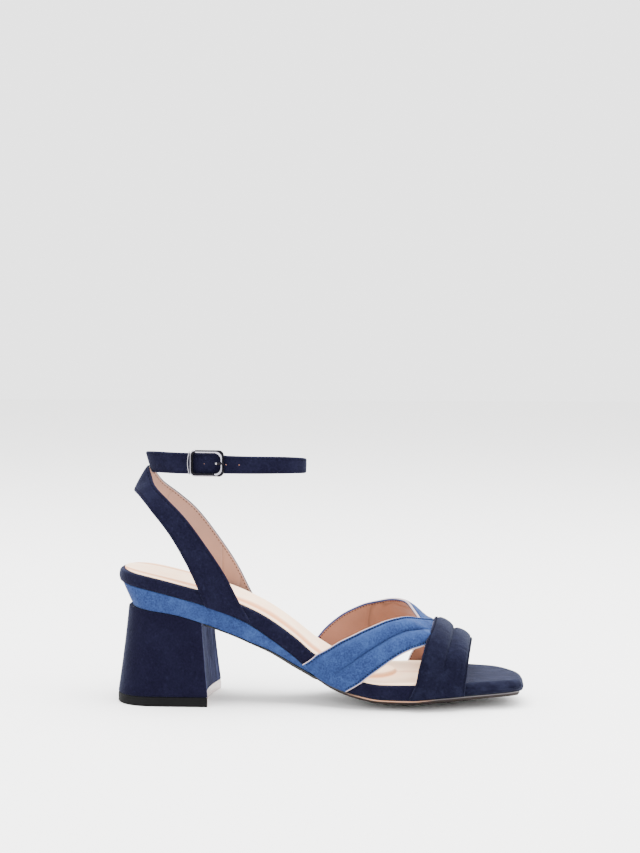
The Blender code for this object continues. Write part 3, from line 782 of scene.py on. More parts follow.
@dataclass(frozen=True)
class Leather:
    """Smooth leather with fine pores and upright creases, with painted shade along the creases and in
    hollows.
    """

    base: Colour
    shade: Colour
    rough: float = 0.5
    pore: float = 0.0006
    relief: float = 0.00006
    cloud: float = 0.016
    # Share of painted shade along the crease lines; zero leaves the creases out.
    crease: float = 0.0
    fold: float = 0.022
    # hollow: share of painted shade read from the piece's attribute; deep: the colour of that shade and of
    # the crease shade.
    hollow: float = 0.0
    deep: Colour = (0.10, 0.046, 0.030)

    def material(self, name: str) -> bpy.types.Material:
        """The material, under a name."""
        sheet = NodeSheet(name)
        cloud = sheet.noise(self.cloud, 3.0, 0.55)
        pores = sheet.add("ShaderNodeTexVoronoi", Vector=sheet.place, Scale=1.0 / self.pore)
        grain = sheet.noise(self.pore * 2.6, 3.0, 0.6)
        colour = sheet.mix(sheet.span(cloud, 0.35, 0.75, 0.0, 0.6), self.base, self.shade)
        relief = sheet.bump(grain, self.relief * 2.0, 0.6)
        relief = sheet.bump(pores.outputs["Distance"], self.relief, 0.5, relief)
        if self.crease:
            folds = sheet.noise(self.fold, 1.5, 0.5, (1.0, 1.0, 0.16))
            line = sheet.math("ABSOLUTE", sheet.math("SUBTRACT", folds, 0.5), 0.0)
            # Painted shade along the crease lines.
            colour = sheet.mix(sheet.span(line, 0.0, 0.020, self.crease, 0.0), colour, self.deep)
            relief = sheet.bump(sheet.span(line, 0.0, 0.05), 0.0006, 0.7, relief)
        if self.hollow:
            # Painted shade in the hollows, from the piece's attribute.
            shade_attribute = sheet.add("ShaderNodeAttribute")
            shade_attribute.attribute_name = CHANNEL_SHADE
            share = sheet.math("MULTIPLY", shade_attribute.outputs["Fac"], self.hollow)
            colour = sheet.mix(share, colour, self.deep)
        rough = sheet.span(grain, 0.3, 0.7, self.rough - 0.06, self.rough + 0.08)
        return sheet.shade(Base_Color=colour, Roughness=rough, Specular_IOR_Level=0.35, Normal=relief)


@dataclass(frozen=True)
class Rubber:
    """Moulded rubber with a fine grain."""

    base: Colour
    # Dust on the sole rubbers; on the top piece's breast, painted dark reflections.
    dust: Colour
    rough: float = 0.45
    gloss: float = 0.4
    grain: float = 0.0004
    cloud: float = 0.009

    def material(self, name: str) -> bpy.types.Material:
        """The material, under a name."""
        sheet = NodeSheet(name)
        grain = sheet.noise(self.grain, 3.0, 0.6)
        cloud = sheet.noise(self.cloud, 3.0, 0.6)
        colour = sheet.mix(sheet.span(cloud, 0.4, 0.8, 0.0, 0.35), self.base, self.dust)
        rough = sheet.span(cloud, 0.3, 0.7, self.rough - 0.07, self.rough + 0.1)
        return sheet.shade(Base_Color=colour, Roughness=rough, Specular_IOR_Level=self.gloss,
                           Normal=sheet.bump(grain, 0.00005, 0.5))


@dataclass(frozen=True)
class SoleEdge:
    """The outsole's upper edge: painted dark along the waist, nude under the ball, dull at the toe."""

    paint: Colour
    nude: Colour
    dull: Colour
    change: float = 0.112
    blend: float = 0.006
    dull_from: float = 0.146
    dull_to: float = 0.160
    grain: float = 0.0005
    cloud: float = 0.010
    cloud_shade: float = 0.7

    def material(self, name: str) -> bpy.types.Material:
        """The material, under a name."""
        sheet = NodeSheet(name)
        along = sheet.add("ShaderNodeSeparateXYZ", Vector=sheet.place).outputs["X"]
        share = sheet.span(along, self.change - self.blend, self.change + self.blend)
        grain = sheet.noise(self.grain, 3.0, 0.6)
        cloud = sheet.span(sheet.noise(self.cloud, 2.0), 0.35, 0.75, 0.0, 0.4)
        nude = sheet.mix(cloud, self.nude, tuple(self.cloud_shade * part for part in self.nude))
        nude = sheet.mix(sheet.span(along, self.dull_from, self.dull_to), nude, self.dull)
        return sheet.shade(Base_Color=sheet.mix(share, self.paint, nude), Roughness=0.5,
                           Specular_IOR_Level=0.35, Normal=sheet.bump(grain, 0.00006, 0.5))


@dataclass(frozen=True)
class Metal:
    """Polished metal, a little hazed."""

    base: Colour
    rough: float = 0.18
    haze: float = 0.0016

    def material(self, name: str) -> bpy.types.Material:
        """The material, under a name."""
        sheet = NodeSheet(name)
        haze = sheet.noise(self.haze, 4.0, 0.6)
        rough = sheet.span(haze, 0.3, 0.75, self.rough - 0.05, self.rough + 0.10)
        return sheet.shade(Base_Color=(*self.base, 1.0), Metallic=1.0, Roughness=rough,
                           Normal=sheet.bump(haze, 0.00002, 0.4))


@dataclass(frozen=True)
class Thread:
    """Sewing thread."""

    base: Colour
    ply: float = 0.0003

    def material(self, name: str) -> bpy.types.Material:
        """The material, under a name."""
        sheet = NodeSheet(name)
        ply = sheet.noise(self.ply, 2.0)
        return sheet.shade(Base_Color=(*self.base, 1.0), Roughness=0.9, Specular_IOR_Level=0.04,
                           Normal=sheet.bump(ply, 0.00008, 0.8))


class Finish(Enum):
    """The sandal's finishes."""

    NAVY = Suede((0.0030, 0.0030, 0.0085), (0.0056, 0.0052, 0.0145), (0.0170, 0.0185, 0.0410),
                 patch=0.014, patch_share=0.14)
    BAND_NAVY = Suede((0.0026, 0.0027, 0.0075), (0.0050, 0.0050, 0.0130), (0.0150, 0.0170, 0.0360),
                      patch=0.007, patch_share=0.22, lift=0.35)
    TOE_NAVY = Suede((0.0024, 0.0025, 0.0070), (0.0046, 0.0046, 0.0120), (0.0230, 0.0260, 0.0500),
                     patch=0.0045, patch_share=0.22, stretch=(0.6, 1.0, 1.0), lift=0.42)
    HEEL_NAVY = Suede((0.0026, 0.0025, 0.0075), (0.0048, 0.0042, 0.0125), (0.0105, 0.0110, 0.0270),
                      patch=0.020, patch_share=0.15)
    # The breast: brushed streaks of nap, in a lighter copy of the navy that is painted light on the face
    # turned to the side light.
    BREAST = Suede((0.007, 0.007, 0.021), (0.020, 0.021, 0.055), (0.052, 0.060, 0.130),
                   nap=0.0014, patch=0.003, patch_share=0.8, stretch=(1.0, 1.0, 0.06))
    BLUE = Suede((0.0110, 0.0190, 0.060), (0.0205, 0.0390, 0.115), (0.0400, 0.0820, 0.215), patch_share=0.25)
    # The linings' creases carry painted shade.
    LINING = Leather((0.23, 0.102, 0.066), (0.165, 0.074, 0.050), rough=0.5, crease=0.7)
    SLING_LINING = Leather((0.25, 0.135, 0.098), (0.19, 0.102, 0.076), rough=0.5, crease=0.30)
    PALE_EDGE = Leather((0.34, 0.27, 0.28), (0.24, 0.19, 0.21), rough=0.55)
    # The sock's deep colour is painted tan shade in the channel round its pad.
    SOCK = Leather((0.97, 0.72, 0.50), (0.93, 0.55, 0.32), rough=0.6, relief=0.00004, hollow=0.95,
                   deep=(0.64, 0.26, 0.105))
    SOLE_EDGE = SoleEdge((0.006, 0.006, 0.007), (0.34, 0.175, 0.105), (0.045, 0.040, 0.044))
    # Dark underside rubber, also painted shade on the lower part of the outsole's edge.
    SOLE_UNDER = Rubber((0.012, 0.008, 0.007), (0.020, 0.014, 0.012), rough=0.7, gloss=0.15)
    TOP_PIECE = Rubber((0.0030, 0.0030, 0.0033), (0.0055, 0.0055, 0.0060), rough=0.75, gloss=0.08)
    # The breast's darker colour, mixed in clouds, is painted dark reflections.
    TOP_BREAST = Rubber((0.66, 0.54, 0.52), (0.16, 0.13, 0.13), rough=0.2)
    GUNMETAL = Metal((0.0075, 0.0070, 0.0090), rough=0.26)
    # Brighter metal: the keeper bar's own, and painted highlights on the frame and the prong.
    POLISHED = Metal((0.33, 0.32, 0.36), rough=0.18)
    NAVY_THREAD = Thread((0.0035, 0.0034, 0.0095))
    BLUE_THREAD = Thread((0.0030, 0.0030, 0.0080))
    DARK_THREAD = Thread((0.0080, 0.0065, 0.0100))

    def material(self) -> bpy.types.Material:
        """The finish's material, made on first use."""
        name = "finish_" + self.name.lower()
        return bpy.data.materials.get(name) or self.value.material(name)


class Anchor(Enum):
    """What a point of a strap's profile is measured from."""

    REAR = "rear"
    SHARE = "share"
    FRONT = "front"


class ProfilePoint(NamedTuple):
    """A point of a strap's cross-section, with the slot of the strip that follows it."""

    anchor: Anchor
    offset: float
    height: float
    pad: float
    slot: int


@dataclass
class StrapProfile:
    """Cross-section of a strap: lining below, folded edges, and channels on top.

    The edges are rounded, a narrow flange runs inside them, and the channels swell between.
    Slot 0 is the top, 1 the lining and 2 the pale edge, which takes some steps of each rounding.
    """

    thickness: float
    edge: float
    flange: float
    groove: float = 0.0002
    channels: int = 0
    fullness: float = 0.5
    steps: int = 10
    arc_steps: int = 8
    pale_steps: tuple[int, ...] = (0, 1, 2)
    crown: float = 0.0
    floor: float = 0.0
    shoulder: float = 0.75

    def points(self) -> list[ProfilePoint]:
        """The closed cross-section, from the rear edge over the top to the front and back below."""
        radius = self.edge / 2.0
        rear: list[ProfilePoint] = []
        for i in range(self.arc_steps + 1):
            angle = math.pi * i / self.arc_steps
            slot = 2 if i in self.pale_steps else 0
            height = self.floor + radius * (1.0 - math.cos(angle))
            rear.append(ProfilePoint(Anchor.REAR, radius * (1.0 - math.sin(angle)), height, 0.0, slot))
        top = self.floor + self.edge
        rear.append(ProfilePoint(Anchor.REAR, self.flange * self.shoulder, top, 0.0, 0))
        rear.append(ProfilePoint(Anchor.REAR, self.flange, top - self.groove, 0.0, 0))
        front = [row._replace(anchor=Anchor.FRONT) for row in reversed(rear)]
        last = len(front) - 2
        front = [row._replace(slot=2 if last - i in self.pale_steps else 0) for i, row in enumerate(front)]
        front[-1] = front[-1]._replace(slot=1)
        return rear + self.top_points() + front + self.lining_points()

    def top_points(self) -> list[ProfilePoint]:
        """The top between the two flanges."""
        count = self.steps * max(self.channels, 1)
        rows = []
        for i in range(1, count):
            share = i / count
            if self.channels:
                lobe = abs(math.sin(math.pi * share * self.channels)) ** self.fullness
                at_groove = i % self.steps == 0
                height = self.floor + (self.thickness if not at_groove else self.thickness - self.groove)
                rows.append(ProfilePoint(Anchor.SHARE, share, height, lobe, 0))
            else:
                height = self.floor + self.thickness + self.crown * math.sin(math.pi * share)
                rows.append(ProfilePoint(Anchor.SHARE, share, height, 0.0, 0))
        return rows

    def lining_points(self) -> list[ProfilePoint]:
        """The lining, from the front edge back to the rear."""
        shares = (1.0, 0.97, 0.8, 0.6, 0.4, 0.2, 0.03, 0.0)
        return [ProfilePoint(Anchor.SHARE, share, self.floor, 0.0, 1) for share in shares]


def directions(surface: Surface, u: Array, v: Array) -> tuple[Array, Array]:
    """How far a surface runs over a step to both sides, along u and along v."""
    return surface(u + STEP_U, v) - surface(u - STEP_U, v), surface(u, v + STEP_V) - surface(u, v - STEP_V)


def sheet_normals(surface: Surface, u: Array, v: Array) -> Array:
    """Normals of a surface, out from its u and v directions."""
    return unit(np.cross(*directions(surface, u, v)))


def edge_rate(surface: Surface, u: Array, v: float) -> Array:
    """How wide one unit of v is, square to the edge at v.

    Args:
        surface: The surface.
        u: Places along the edge.
        v: The edge, 0 or 1.

    Returns:
        The width at each place.
    """
    ahead, aside = directions(surface, u, np.full_like(u, v))
    along = unit(ahead)
    aside = aside / (2.0 * STEP_V)
    square = aside - (aside * along).sum(-1, keepdims=True) * along
    return np.linalg.norm(square, axis=-1)


@dataclass
class Strap:
    """A strap swept over a surface, with lining, edges and stitch lines."""

    surface: Surface
    profile: StrapProfile
    stations: Array
    pad: Array
    side: float = 1.0
    closed: bool = False
    relief: Optional[Callable[[Array, Array], Array]] = None

    def shares(self, anchor: Anchor, offset: float) -> Array:
        """Where a line of the profile runs.

        Args:
            anchor: What it is measured from.
            offset: Distance from an edge, or share between the flanges.

        Returns:
            v at each station.
        """
        rear = self.profile.flange / edge_rate(self.surface, self.stations, 0.0)
        front = self.profile.flange / edge_rate(self.surface, self.stations, 1.0)
        if anchor is Anchor.REAR:
            return rear * offset / self.profile.flange
        if anchor is Anchor.FRONT:
            return 1.0 - front * offset / self.profile.flange
        return rear + (1.0 - front - rear) * offset

    def points(self) -> Array:
        """The strap's skin: stations by points around its cross-section."""
        rows = self.profile.points()
        u = np.repeat(self.stations[:, None], len(rows), axis=1)
        v = np.stack([self.shares(row.anchor, row.offset) for row in rows], axis=1)
        height = np.asarray([row.height for row in rows])[None, :]
        swell = np.asarray([row.pad for row in rows])[None, :] * self.pad[:, None]
        height = height + swell
        if self.relief is not None:
            top = np.asarray([row.slot == 0 and row.anchor is Anchor.SHARE for row in rows])[None, :]
            height = height + np.where(top, self.relief(u, v), 0.0)
        normal = sheet_normals(self.surface, u, v) * self.side
        return self.surface(u, v) + normal * height[..., None]

    def build(self, name: str, finishes: Sequence[Finish]) -> bpy.types.Object:
        """Make the strap.

        Args:
            name: The piece's name.
            finishes: Top, lining and cut edge.

        Returns:
            The piece.
        """
        sheet = MeshSheet()
        slots = [row.slot for row in self.profile.points()]
        sheet.grid(self.points(), slots, close_rows=self.closed, close_columns=True, caps=not self.closed)
        return sheet.build(name, finishes)

    def seam(self, anchor: Anchor, distance: float, height: float, start: float = 0.0,
             stop: float = 1.0) -> Array:
        """A stitch line at a distance from an edge.

        Args:
            anchor: The edge.
            distance: How far in from it.
            height: How far out from the strap's inner face.
            start: Share of the stations where it begins.
            stop: Share where it ends.

        Returns:
            Its points.
        """
        count = len(self.stations)
        chosen = slice(int(start * (count - 1)), int(stop * (count - 1)) + 1)
        u, v = self.stations[chosen], self.shares(anchor, distance)[chosen]
        normal = sheet_normals(self.surface, u, v) * self.side
        return self.surface(u, v) + normal * height


class StitchSize(NamedTuple):
    """From one stitch to the next, a stitch's length and its thread's radius."""

    pitch: float = 0.0028
    length: float = 0.0019
    radius: float = 0.00024


class StitchTree:
    """A node tree that lays stitches along every line of a mesh of edges."""

    name = "stitch_rows"

    def __init__(self) -> None:
        """Build the tree, with its sizes and the thread as named inputs."""
        self.tree = bpy.data.node_groups.new(self.name, "GeometryNodeTree")
        face = self.tree.interface
        face.new_socket("Geometry", in_out="INPUT", socket_type="NodeSocketGeometry")
        self.inputs: list[str] = []
        for label, size in zip(("Pitch", "Stitch Length", "Thread Radius"), StitchSize()):
            socket = face.new_socket(label, in_out="INPUT", socket_type="NodeSocketFloat")
            socket.default_value = size
            self.inputs.append(socket.identifier)
        thread = face.new_socket("Thread", in_out="INPUT", socket_type="NodeSocketMaterial")
        self.inputs.append(thread.identifier)
        face.new_socket("Geometry", in_out="OUTPUT", socket_type="NodeSocketGeometry")
        self.wire()

    def wire(self) -> None:
        """Place and link the nodes: a bead at every step of a line, turned and stretched along it."""
        nodes = self.tree.nodes
        source, target = nodes.new("NodeGroupInput"), nodes.new("NodeGroupOutput")
        lines = nodes.new("GeometryNodeMeshToCurve")
        pitch = nodes.new("GeometryNodeResampleCurve")
        pitch.mode = "LENGTH"
        along = nodes.new("GeometryNodeInputTangent")
        turn = nodes.new("FunctionNodeAlignRotationToVector")
        turn.axis = "Z"
        bead = nodes.new("GeometryNodeMeshUVSphere")
        for name, value in (("Segments", 8), ("Rings", 6), ("Radius", 1.0)):
            bead.inputs[name].default_value = value
        half = nodes.new("ShaderNodeMath")
        half.operation = "MULTIPLY"
        half.inputs[1].default_value = 0.5
        size = nodes.new("ShaderNodeCombineXYZ")
        place = nodes.new("GeometryNodeInstanceOnPoints")
        solid = nodes.new("GeometryNodeRealizeInstances")
        paint = nodes.new("GeometryNodeSetMaterial")
        for start, output, end, entry in (
                (source, "Geometry", lines, "Mesh"), (lines, "Curve", pitch, "Curve"),
                (source, "Pitch", pitch, "Length"), (along, "Tangent", turn, "Vector"),
                (source, "Stitch Length", half, 0), (source, "Thread Radius", size, "X"),
                (source, "Thread Radius", size, "Y"), (half, 0, size, "Z"),
                (pitch, "Curve", place, "Points"), (bead, "Mesh", place, "Instance"),
                (turn, "Rotation", place, "Rotation"), (size, 0, place, "Scale"),
                (place, "Instances", solid, "Geometry"), (solid, "Geometry", paint, "Geometry"),
                (source, "Thread", paint, "Material"), (paint, "Geometry", target, "Geometry")):
            self.tree.links.new(start.outputs[output], end.inputs[entry])

    def sew(self, name: str, seams: Sequence[Array], finish: Finish,
            size: StitchSize = StitchSize()) -> bpy.types.Object:
        """Lay stitches along seams and bake them to a plain mesh.

        Args:
            name: The piece's name.
            seams: Lines of points.
            finish: The thread.
            size: Size of the stitches.

        Returns:
            The piece.
        """
        points = np.concatenate(seams)
        edges, first = [], 0
        for seam in seams:
            edges += [(first + i, first + i + 1) for i in range(len(seam) - 1)]
            first += len(seam)
        lines = bpy.data.meshes.new(name)
        lines.from_pydata(points.tolist(), edges, [])
        piece = place_object(name, lines)
        rows = piece.modifiers.new("rows", "NODES")
        rows.node_group = self.tree
        for entry, value in zip(self.inputs, (*size, finish.material())):
            rows[entry] = value
        bake(piece)
        piece.data.shade_smooth()
        return piece


def bake(piece: bpy.types.Object) -> None:
    """Turn a piece's modifiers into a plain mesh."""
    evaluated = piece.evaluated_get(bpy.context.evaluated_depsgraph_get())
    mesh = bpy.data.meshes.new_from_object(evaluated)
    mesh.name = piece.name
    piece.modifiers.clear()
    piece.data = mesh


@dataclass
class Platform:
    """The suede-wrapped midsole and the padded sock on it."""

    form: SoleForm
    side_round: float = 0.0012
    toe_round: float = 0.0042
    back_round: float = 0.0026
    under_share: float = 0.4
    toe_start: float = 0.160
    toe_blend: float = 0.03
    toe_finish: float = 0.150
    side_bulge: float = 0.0003
    wrap_spine: tuple[float, float] = (0.024, 0.016)
    back_margin: float = 0.0022
    sock_length: float = 0.201
    sock_inset: float = 0.0010
    sock_under: float = 0.0008
    sock_lip: float = 0.0002
    sock_round: float = 0.0006
    sock_thickness: float = 0.0012
    sock_spine: tuple[float, float] = (0.024, 0.012)
    sock_rings: int = 38
    thin_back: float = 0.012
    thin_blend: float = 0.090
    pad_height: float = 0.0022
    pad_margin: float = 0.0075
    pad_slope: float = 0.0022
    pad_foot: float = 0.15
    pad_end: float = 0.1345
    pad_nose: float = 0.045
    pad_nose_width: float = 0.0205
    pad_clear: float = 0.004
    # Widths of the painted shade on the pad and beside it, in widths of the pad's slope.
    shade_on_pad: float = 0.9
    shade_beside: float = 2.2
    loop_points: int = 230
    toe_points: int = 14
    window_points: int = 30

    def wrap(self) -> bpy.types.Object:
        """The navy wrap: rounded at its upper edge, more so at the toe, where it covers the top.

        Returns:
            The piece.
        """
        form = self.form
        loop = form.plan_loop(form.back + BACK_STEP, form.tip, self.loop_points, self.toe_points)
        spine = form.spine(loop, *self.wrap_spine)
        at_toe = soft_step((loop[:, 0] - self.toe_start) / self.toe_blend)
        radius = self.side_round + (self.toe_round - self.side_round) * at_toe
        radius = radius + (self.back_round - self.side_round) * form.at_back(loop[:, 0])
        under = self.under_share * radius
        rings: list[Array] = []

        def ring(inset: Amount, share: float, height: float, drop: Amount) -> None:
            """Add a ring at a share of the height, moved in from the side and towards the spine."""
            xy = inset_loop(loop, inset)
            xy = xy + (spine - xy) * share
            x = np.clip(xy[:, 0], form.back + BACK_STEP, form.tip)
            low = np.maximum(form.wrap_base(x) - form.crown(x, xy[:, 1]), form.outsole_depth + GAP)
            rings.append(np.column_stack([xy, low + (form.wrap_top(x) - low) * height + drop]))

        for share in (1.0, 0.7, 0.4, 0.15):
            ring(under, share, 0.0, 0.0)
        for falling, rising in quarter_turn(3):
            ring(under * falling, 0.0, 0.0, under * rising)
        for height in (0.3, 0.5, 0.7):
            ring(-self.side_bulge * math.sin(math.pi * height), 0.0, height,
                 (1.0 - height) * under - height * radius)
        for falling, rising in quarter_turn(6):
            ring(radius * rising, 0.0, 1.0, -radius * falling)
        for share in (0.06, 0.14, 0.24, 0.36, 0.5, 0.65, 0.82, 1.0):
            ring(radius, share, 1.0, 0.0)
        wrap = ring_mesh("midsole_wrap", rings, [Finish.NAVY, Finish.TOE_NAVY])
        for face in wrap.data.polygons:
            face.material_index = 1 if face.center.x > self.toe_finish else 0
        return wrap

    def pad_reach(self, x: Array, y: Array) -> Array:
        """Distance inside the pad's edge, in widths of its slope.

        Args:
            x: Places along the shoe.
            y: Places across it.

        Returns:
            The distance, below 0 beside the pad, which is round at its front end.
        """
        form = self.form
        half = 0.5 * (form.outline(x, 1) - form.outline(x, -1)) - self.sock_inset - self.pad_margin
        to_nose = soft_step((self.pad_end - x) / self.pad_nose)
        half = self.pad_nose_width + (half - self.pad_nose_width) * to_nose
        half = half * rounded(self.pad_end - x, self.pad_nose_width)
        half = half - self.pad_clear * (x > self.pad_end)
        return (half - np.abs(y - form.middle(x))) / self.pad_slope

    def pad(self, x: Array, y: Array) -> Array:
        """Share of the pad's height under the foot: full in its middle."""
        return np.sin(0.5 * np.pi * np.clip(self.pad_reach(x, y) + self.pad_foot, 0.0, 1.0))

    def hollow(self, x: Array, y: Array) -> Array:
        """How much painted shade a point takes in the channel round the pad, from 0 to 1."""
        out = -self.pad_reach(x, y)
        on_pad = np.where(out < -self.shade_on_pad, 0.0, 1.0 + out / self.shade_on_pad)
        return np.where(out < 0.0, on_pad, np.exp(-(out / self.shade_beside) ** 2))

    def sock(self) -> bpy.types.Object:
        """The cream sock with its padded middle and its rounded, slightly raised edge.

        Returns:
            The piece, with the share of painted shade in its channel as an attribute.
        """
        form = self.form
        start = form.back + self.sock_inset
        stop = start + self.sock_length
        loop = form.plan_loop(form.back + BACK_STEP, stop, self.loop_points, self.window_points)
        spine = form.spine(loop, *self.sock_spine)
        rings: list[Array] = []

        def ring(inset: float, share: float, height: float, drop: float) -> None:
            """Add a ring at a share of the thickness, moved in from the edge and towards the spine."""
            xy = inset_loop(loop, inset + self.back_margin * form.at_back(loop[:, 0]))
            xy = xy + (spine - xy) * share
            x = np.clip(xy[:, 0], start, stop)
            fuller = soft_step((x + self.thin_back) / self.thin_blend)
            top = self.sock_thickness * (0.5 + 0.5 * fuller)
            top = top + self.pad_height * (0.1 + 0.9 * fuller) * self.pad(x, xy[:, 1])
            rings.append(np.column_stack([x, xy[:, 1], form.wrap_top(x) + GAP + top * height - drop]))

        for share in (1.0, 0.5, 0.1):
            ring(self.sock_inset + self.sock_under, share, 0.0, 0.0)
        ring(self.sock_inset + self.sock_lip, 0.0, 0.0, 0.0)
        ring(self.sock_inset, 0.0, 0.4, 0.0)
        for falling, rising in quarter_turn(3):
            ring(self.sock_inset + self.sock_round * rising, 0.0, 1.0, self.sock_round * falling)
        for i in range(1, self.sock_rings + 1):
            ring(self.sock_inset + self.sock_round, i / self.sock_rings, 1.0, 0.0)
        sock = ring_mesh("insole_sock", rings, [Finish.SOCK])
        # Painted shade in the channel round the pad, stored for each point.
        places = np.empty(3 * len(sock.data.vertices))
        sock.data.vertices.foreach_get("co", places)
        places = places.reshape(-1, 3)
        shade_attribute = sock.data.attributes.new(CHANNEL_SHADE, "FLOAT", "POINT")
        shade_attribute.data.foreach_set("value", self.hollow(places[:, 0], places[:, 1]))
        return sock

    def build(self) -> None:
        """Make both."""
        report(self.wrap(), "navy_suede", "midsole")
        sock = self.sock()
        report(sock, "sock_leather", "insole")


@dataclass
class Undersole:
    """The blue wedge between platform and heel, and the thin outsole."""

    form: SoleForm
    side_taper: float = 0.0010
    back_inset: float = 0.0014
    heel_back: float = -0.0244
    wedge_spine: tuple[float, float] = (0.022, 0.012)
    wedge_points: int = 150
    wedge_front_points: int = 20
    outsole_inset: float = 0.0010
    outsole_start: float = 0.0225
    outsole_spine: tuple[float, float] = (0.014, 0.014)
    outsole_points: int = 200
    toe_points: int = 14
    breast_points: int = 24
    breast_hollow: float = 0.0035
    edge_round: float = 0.0003
    under_cut: float = 0.0012

    def wedge(self) -> bpy.types.Object:
        """The suede wedge: widest at its top, round at its back, thin at its front.

        Returns:
            The piece.
        """
        form = self.form
        loop = form.plan_loop(form.back + BACK_STEP, form.wedge_front, self.wedge_points,
                              self.wedge_front_points)
        spine = form.spine(loop, *self.wedge_spine)
        top_back = form.back + self.back_inset
        base_back = self.heel_back + GAP
        fade = np.clip((form.wedge_front - loop[:, 0]) / (form.wedge_front - form.back), 0.0, 1.0) ** 2
        rings: list[Array] = []

        def ring(share_up: float, to_spine: float, inset: float) -> None:
            """Add a ring at a share of the height, its back shifted to the heel's or the seat's."""
            xy = inset_loop(loop, GAP + self.side_taper * (1.0 - share_up) + inset)
            shift = (base_back + (top_back - base_back) * share_up - form.back) * fade
            xy[:, 0] = xy[:, 0] + shift
            middle = spine + np.stack([shift, 0.0 * fade], axis=1)
            xy = xy + (middle - xy) * to_spine
            x = np.clip(xy[:, 0], form.back, form.wedge_front)
            low, high = form.wedge_base(x), form.wrap_base(x) - GAP
            rings.append(np.column_stack([x, xy[:, 1], low + (high - low) * share_up]))

        for share in (1.0, 0.5, 0.15, 0.0):
            ring(0.0, share, self.edge_round)
        for share_up in (0.02, 0.06, 0.2, 0.35, 0.5, 0.65, 0.8, 0.94, 0.98):
            ring(share_up, 0.0, 0.0)
        for share in (0.0, 0.15, 0.5, 1.0):
            ring(1.0, share, self.edge_round)
        return ring_mesh("wedge_suede", rings, [Finish.BLUE])

    def outsole(self) -> bpy.types.Object:
        """The outsole, hollow at the heel's breast, with a narrow rounded edge.

        Returns:
            The piece.
        """
        form = self.form
        loop = form.plan_loop(self.outsole_start, form.tip - self.outsole_inset, self.outsole_points,
                              self.toe_points, self.breast_points)
        breast = loop[-self.breast_points:]
        breast[:, 0] -= self.breast_hollow * (1.0 - (breast[:, 1] / np.abs(breast[:, 1]).max()) ** 2)
        spine = form.spine(loop, *self.outsole_spine)
        rings: list[Array] = []

        def ring(inset: float, to_spine: float, height: float) -> None:
            """Add a ring at a share of the thickness, moved in from the edge and towards the spine."""
            xy = inset_loop(loop, self.outsole_inset + inset)
            xy = xy + (spine - xy) * to_spine
            x = np.clip(xy[:, 0], self.outsole_start - self.breast_hollow, form.tip)
            low, high = form.sole_bottom(x, xy[:, 1]), form.sole_top(x, xy[:, 1])
            rings.append(np.column_stack([xy, low + (high - low) * height]))

        inwards = (1.0, 0.86, 0.72, 0.58, 0.45, 0.33, 0.22, 0.12, 0.05)
        for share in (*inwards, 0.0):
            ring(self.under_cut, share, 0.0)
        ring(0.5 * self.under_cut, 0.0, 0.25)
        # Up to here the outsole takes the dark underside rubber, which on the lower part of its edge is
        # painted shade.
        painted = len(rings)
        ring(0.05 * self.under_cut, 0.0, 0.58)
        ring(0.0, 0.0, 0.68)
        ring(0.0, 0.0, 0.90)
        for share in (0.0, *reversed(inwards)):
            ring(self.edge_round, share, 1.0)
        slots = [0 if row < painted else 1 for row in range(len(rings) - 1)]
        sheet = MeshSheet()
        sheet.grid(np.stack(rings, axis=1), slots, close_rows=True)
        return sheet.build("outsole_edge", (Finish.SOLE_UNDER, Finish.SOLE_EDGE), sharp=45.0)

    def build(self) -> None:
        """Make both."""
        report(self.wedge(), "blue_suede", "wedge")
        report(self.outsole(), "sole_rubber", "outsole")


class Level(NamedTuple):
    """A loop of the heel: its shares of flare and height, how far in, and its share to the middle."""

    flare: float
    up: float
    inset: float = 0.0
    inwards: float = 0.0


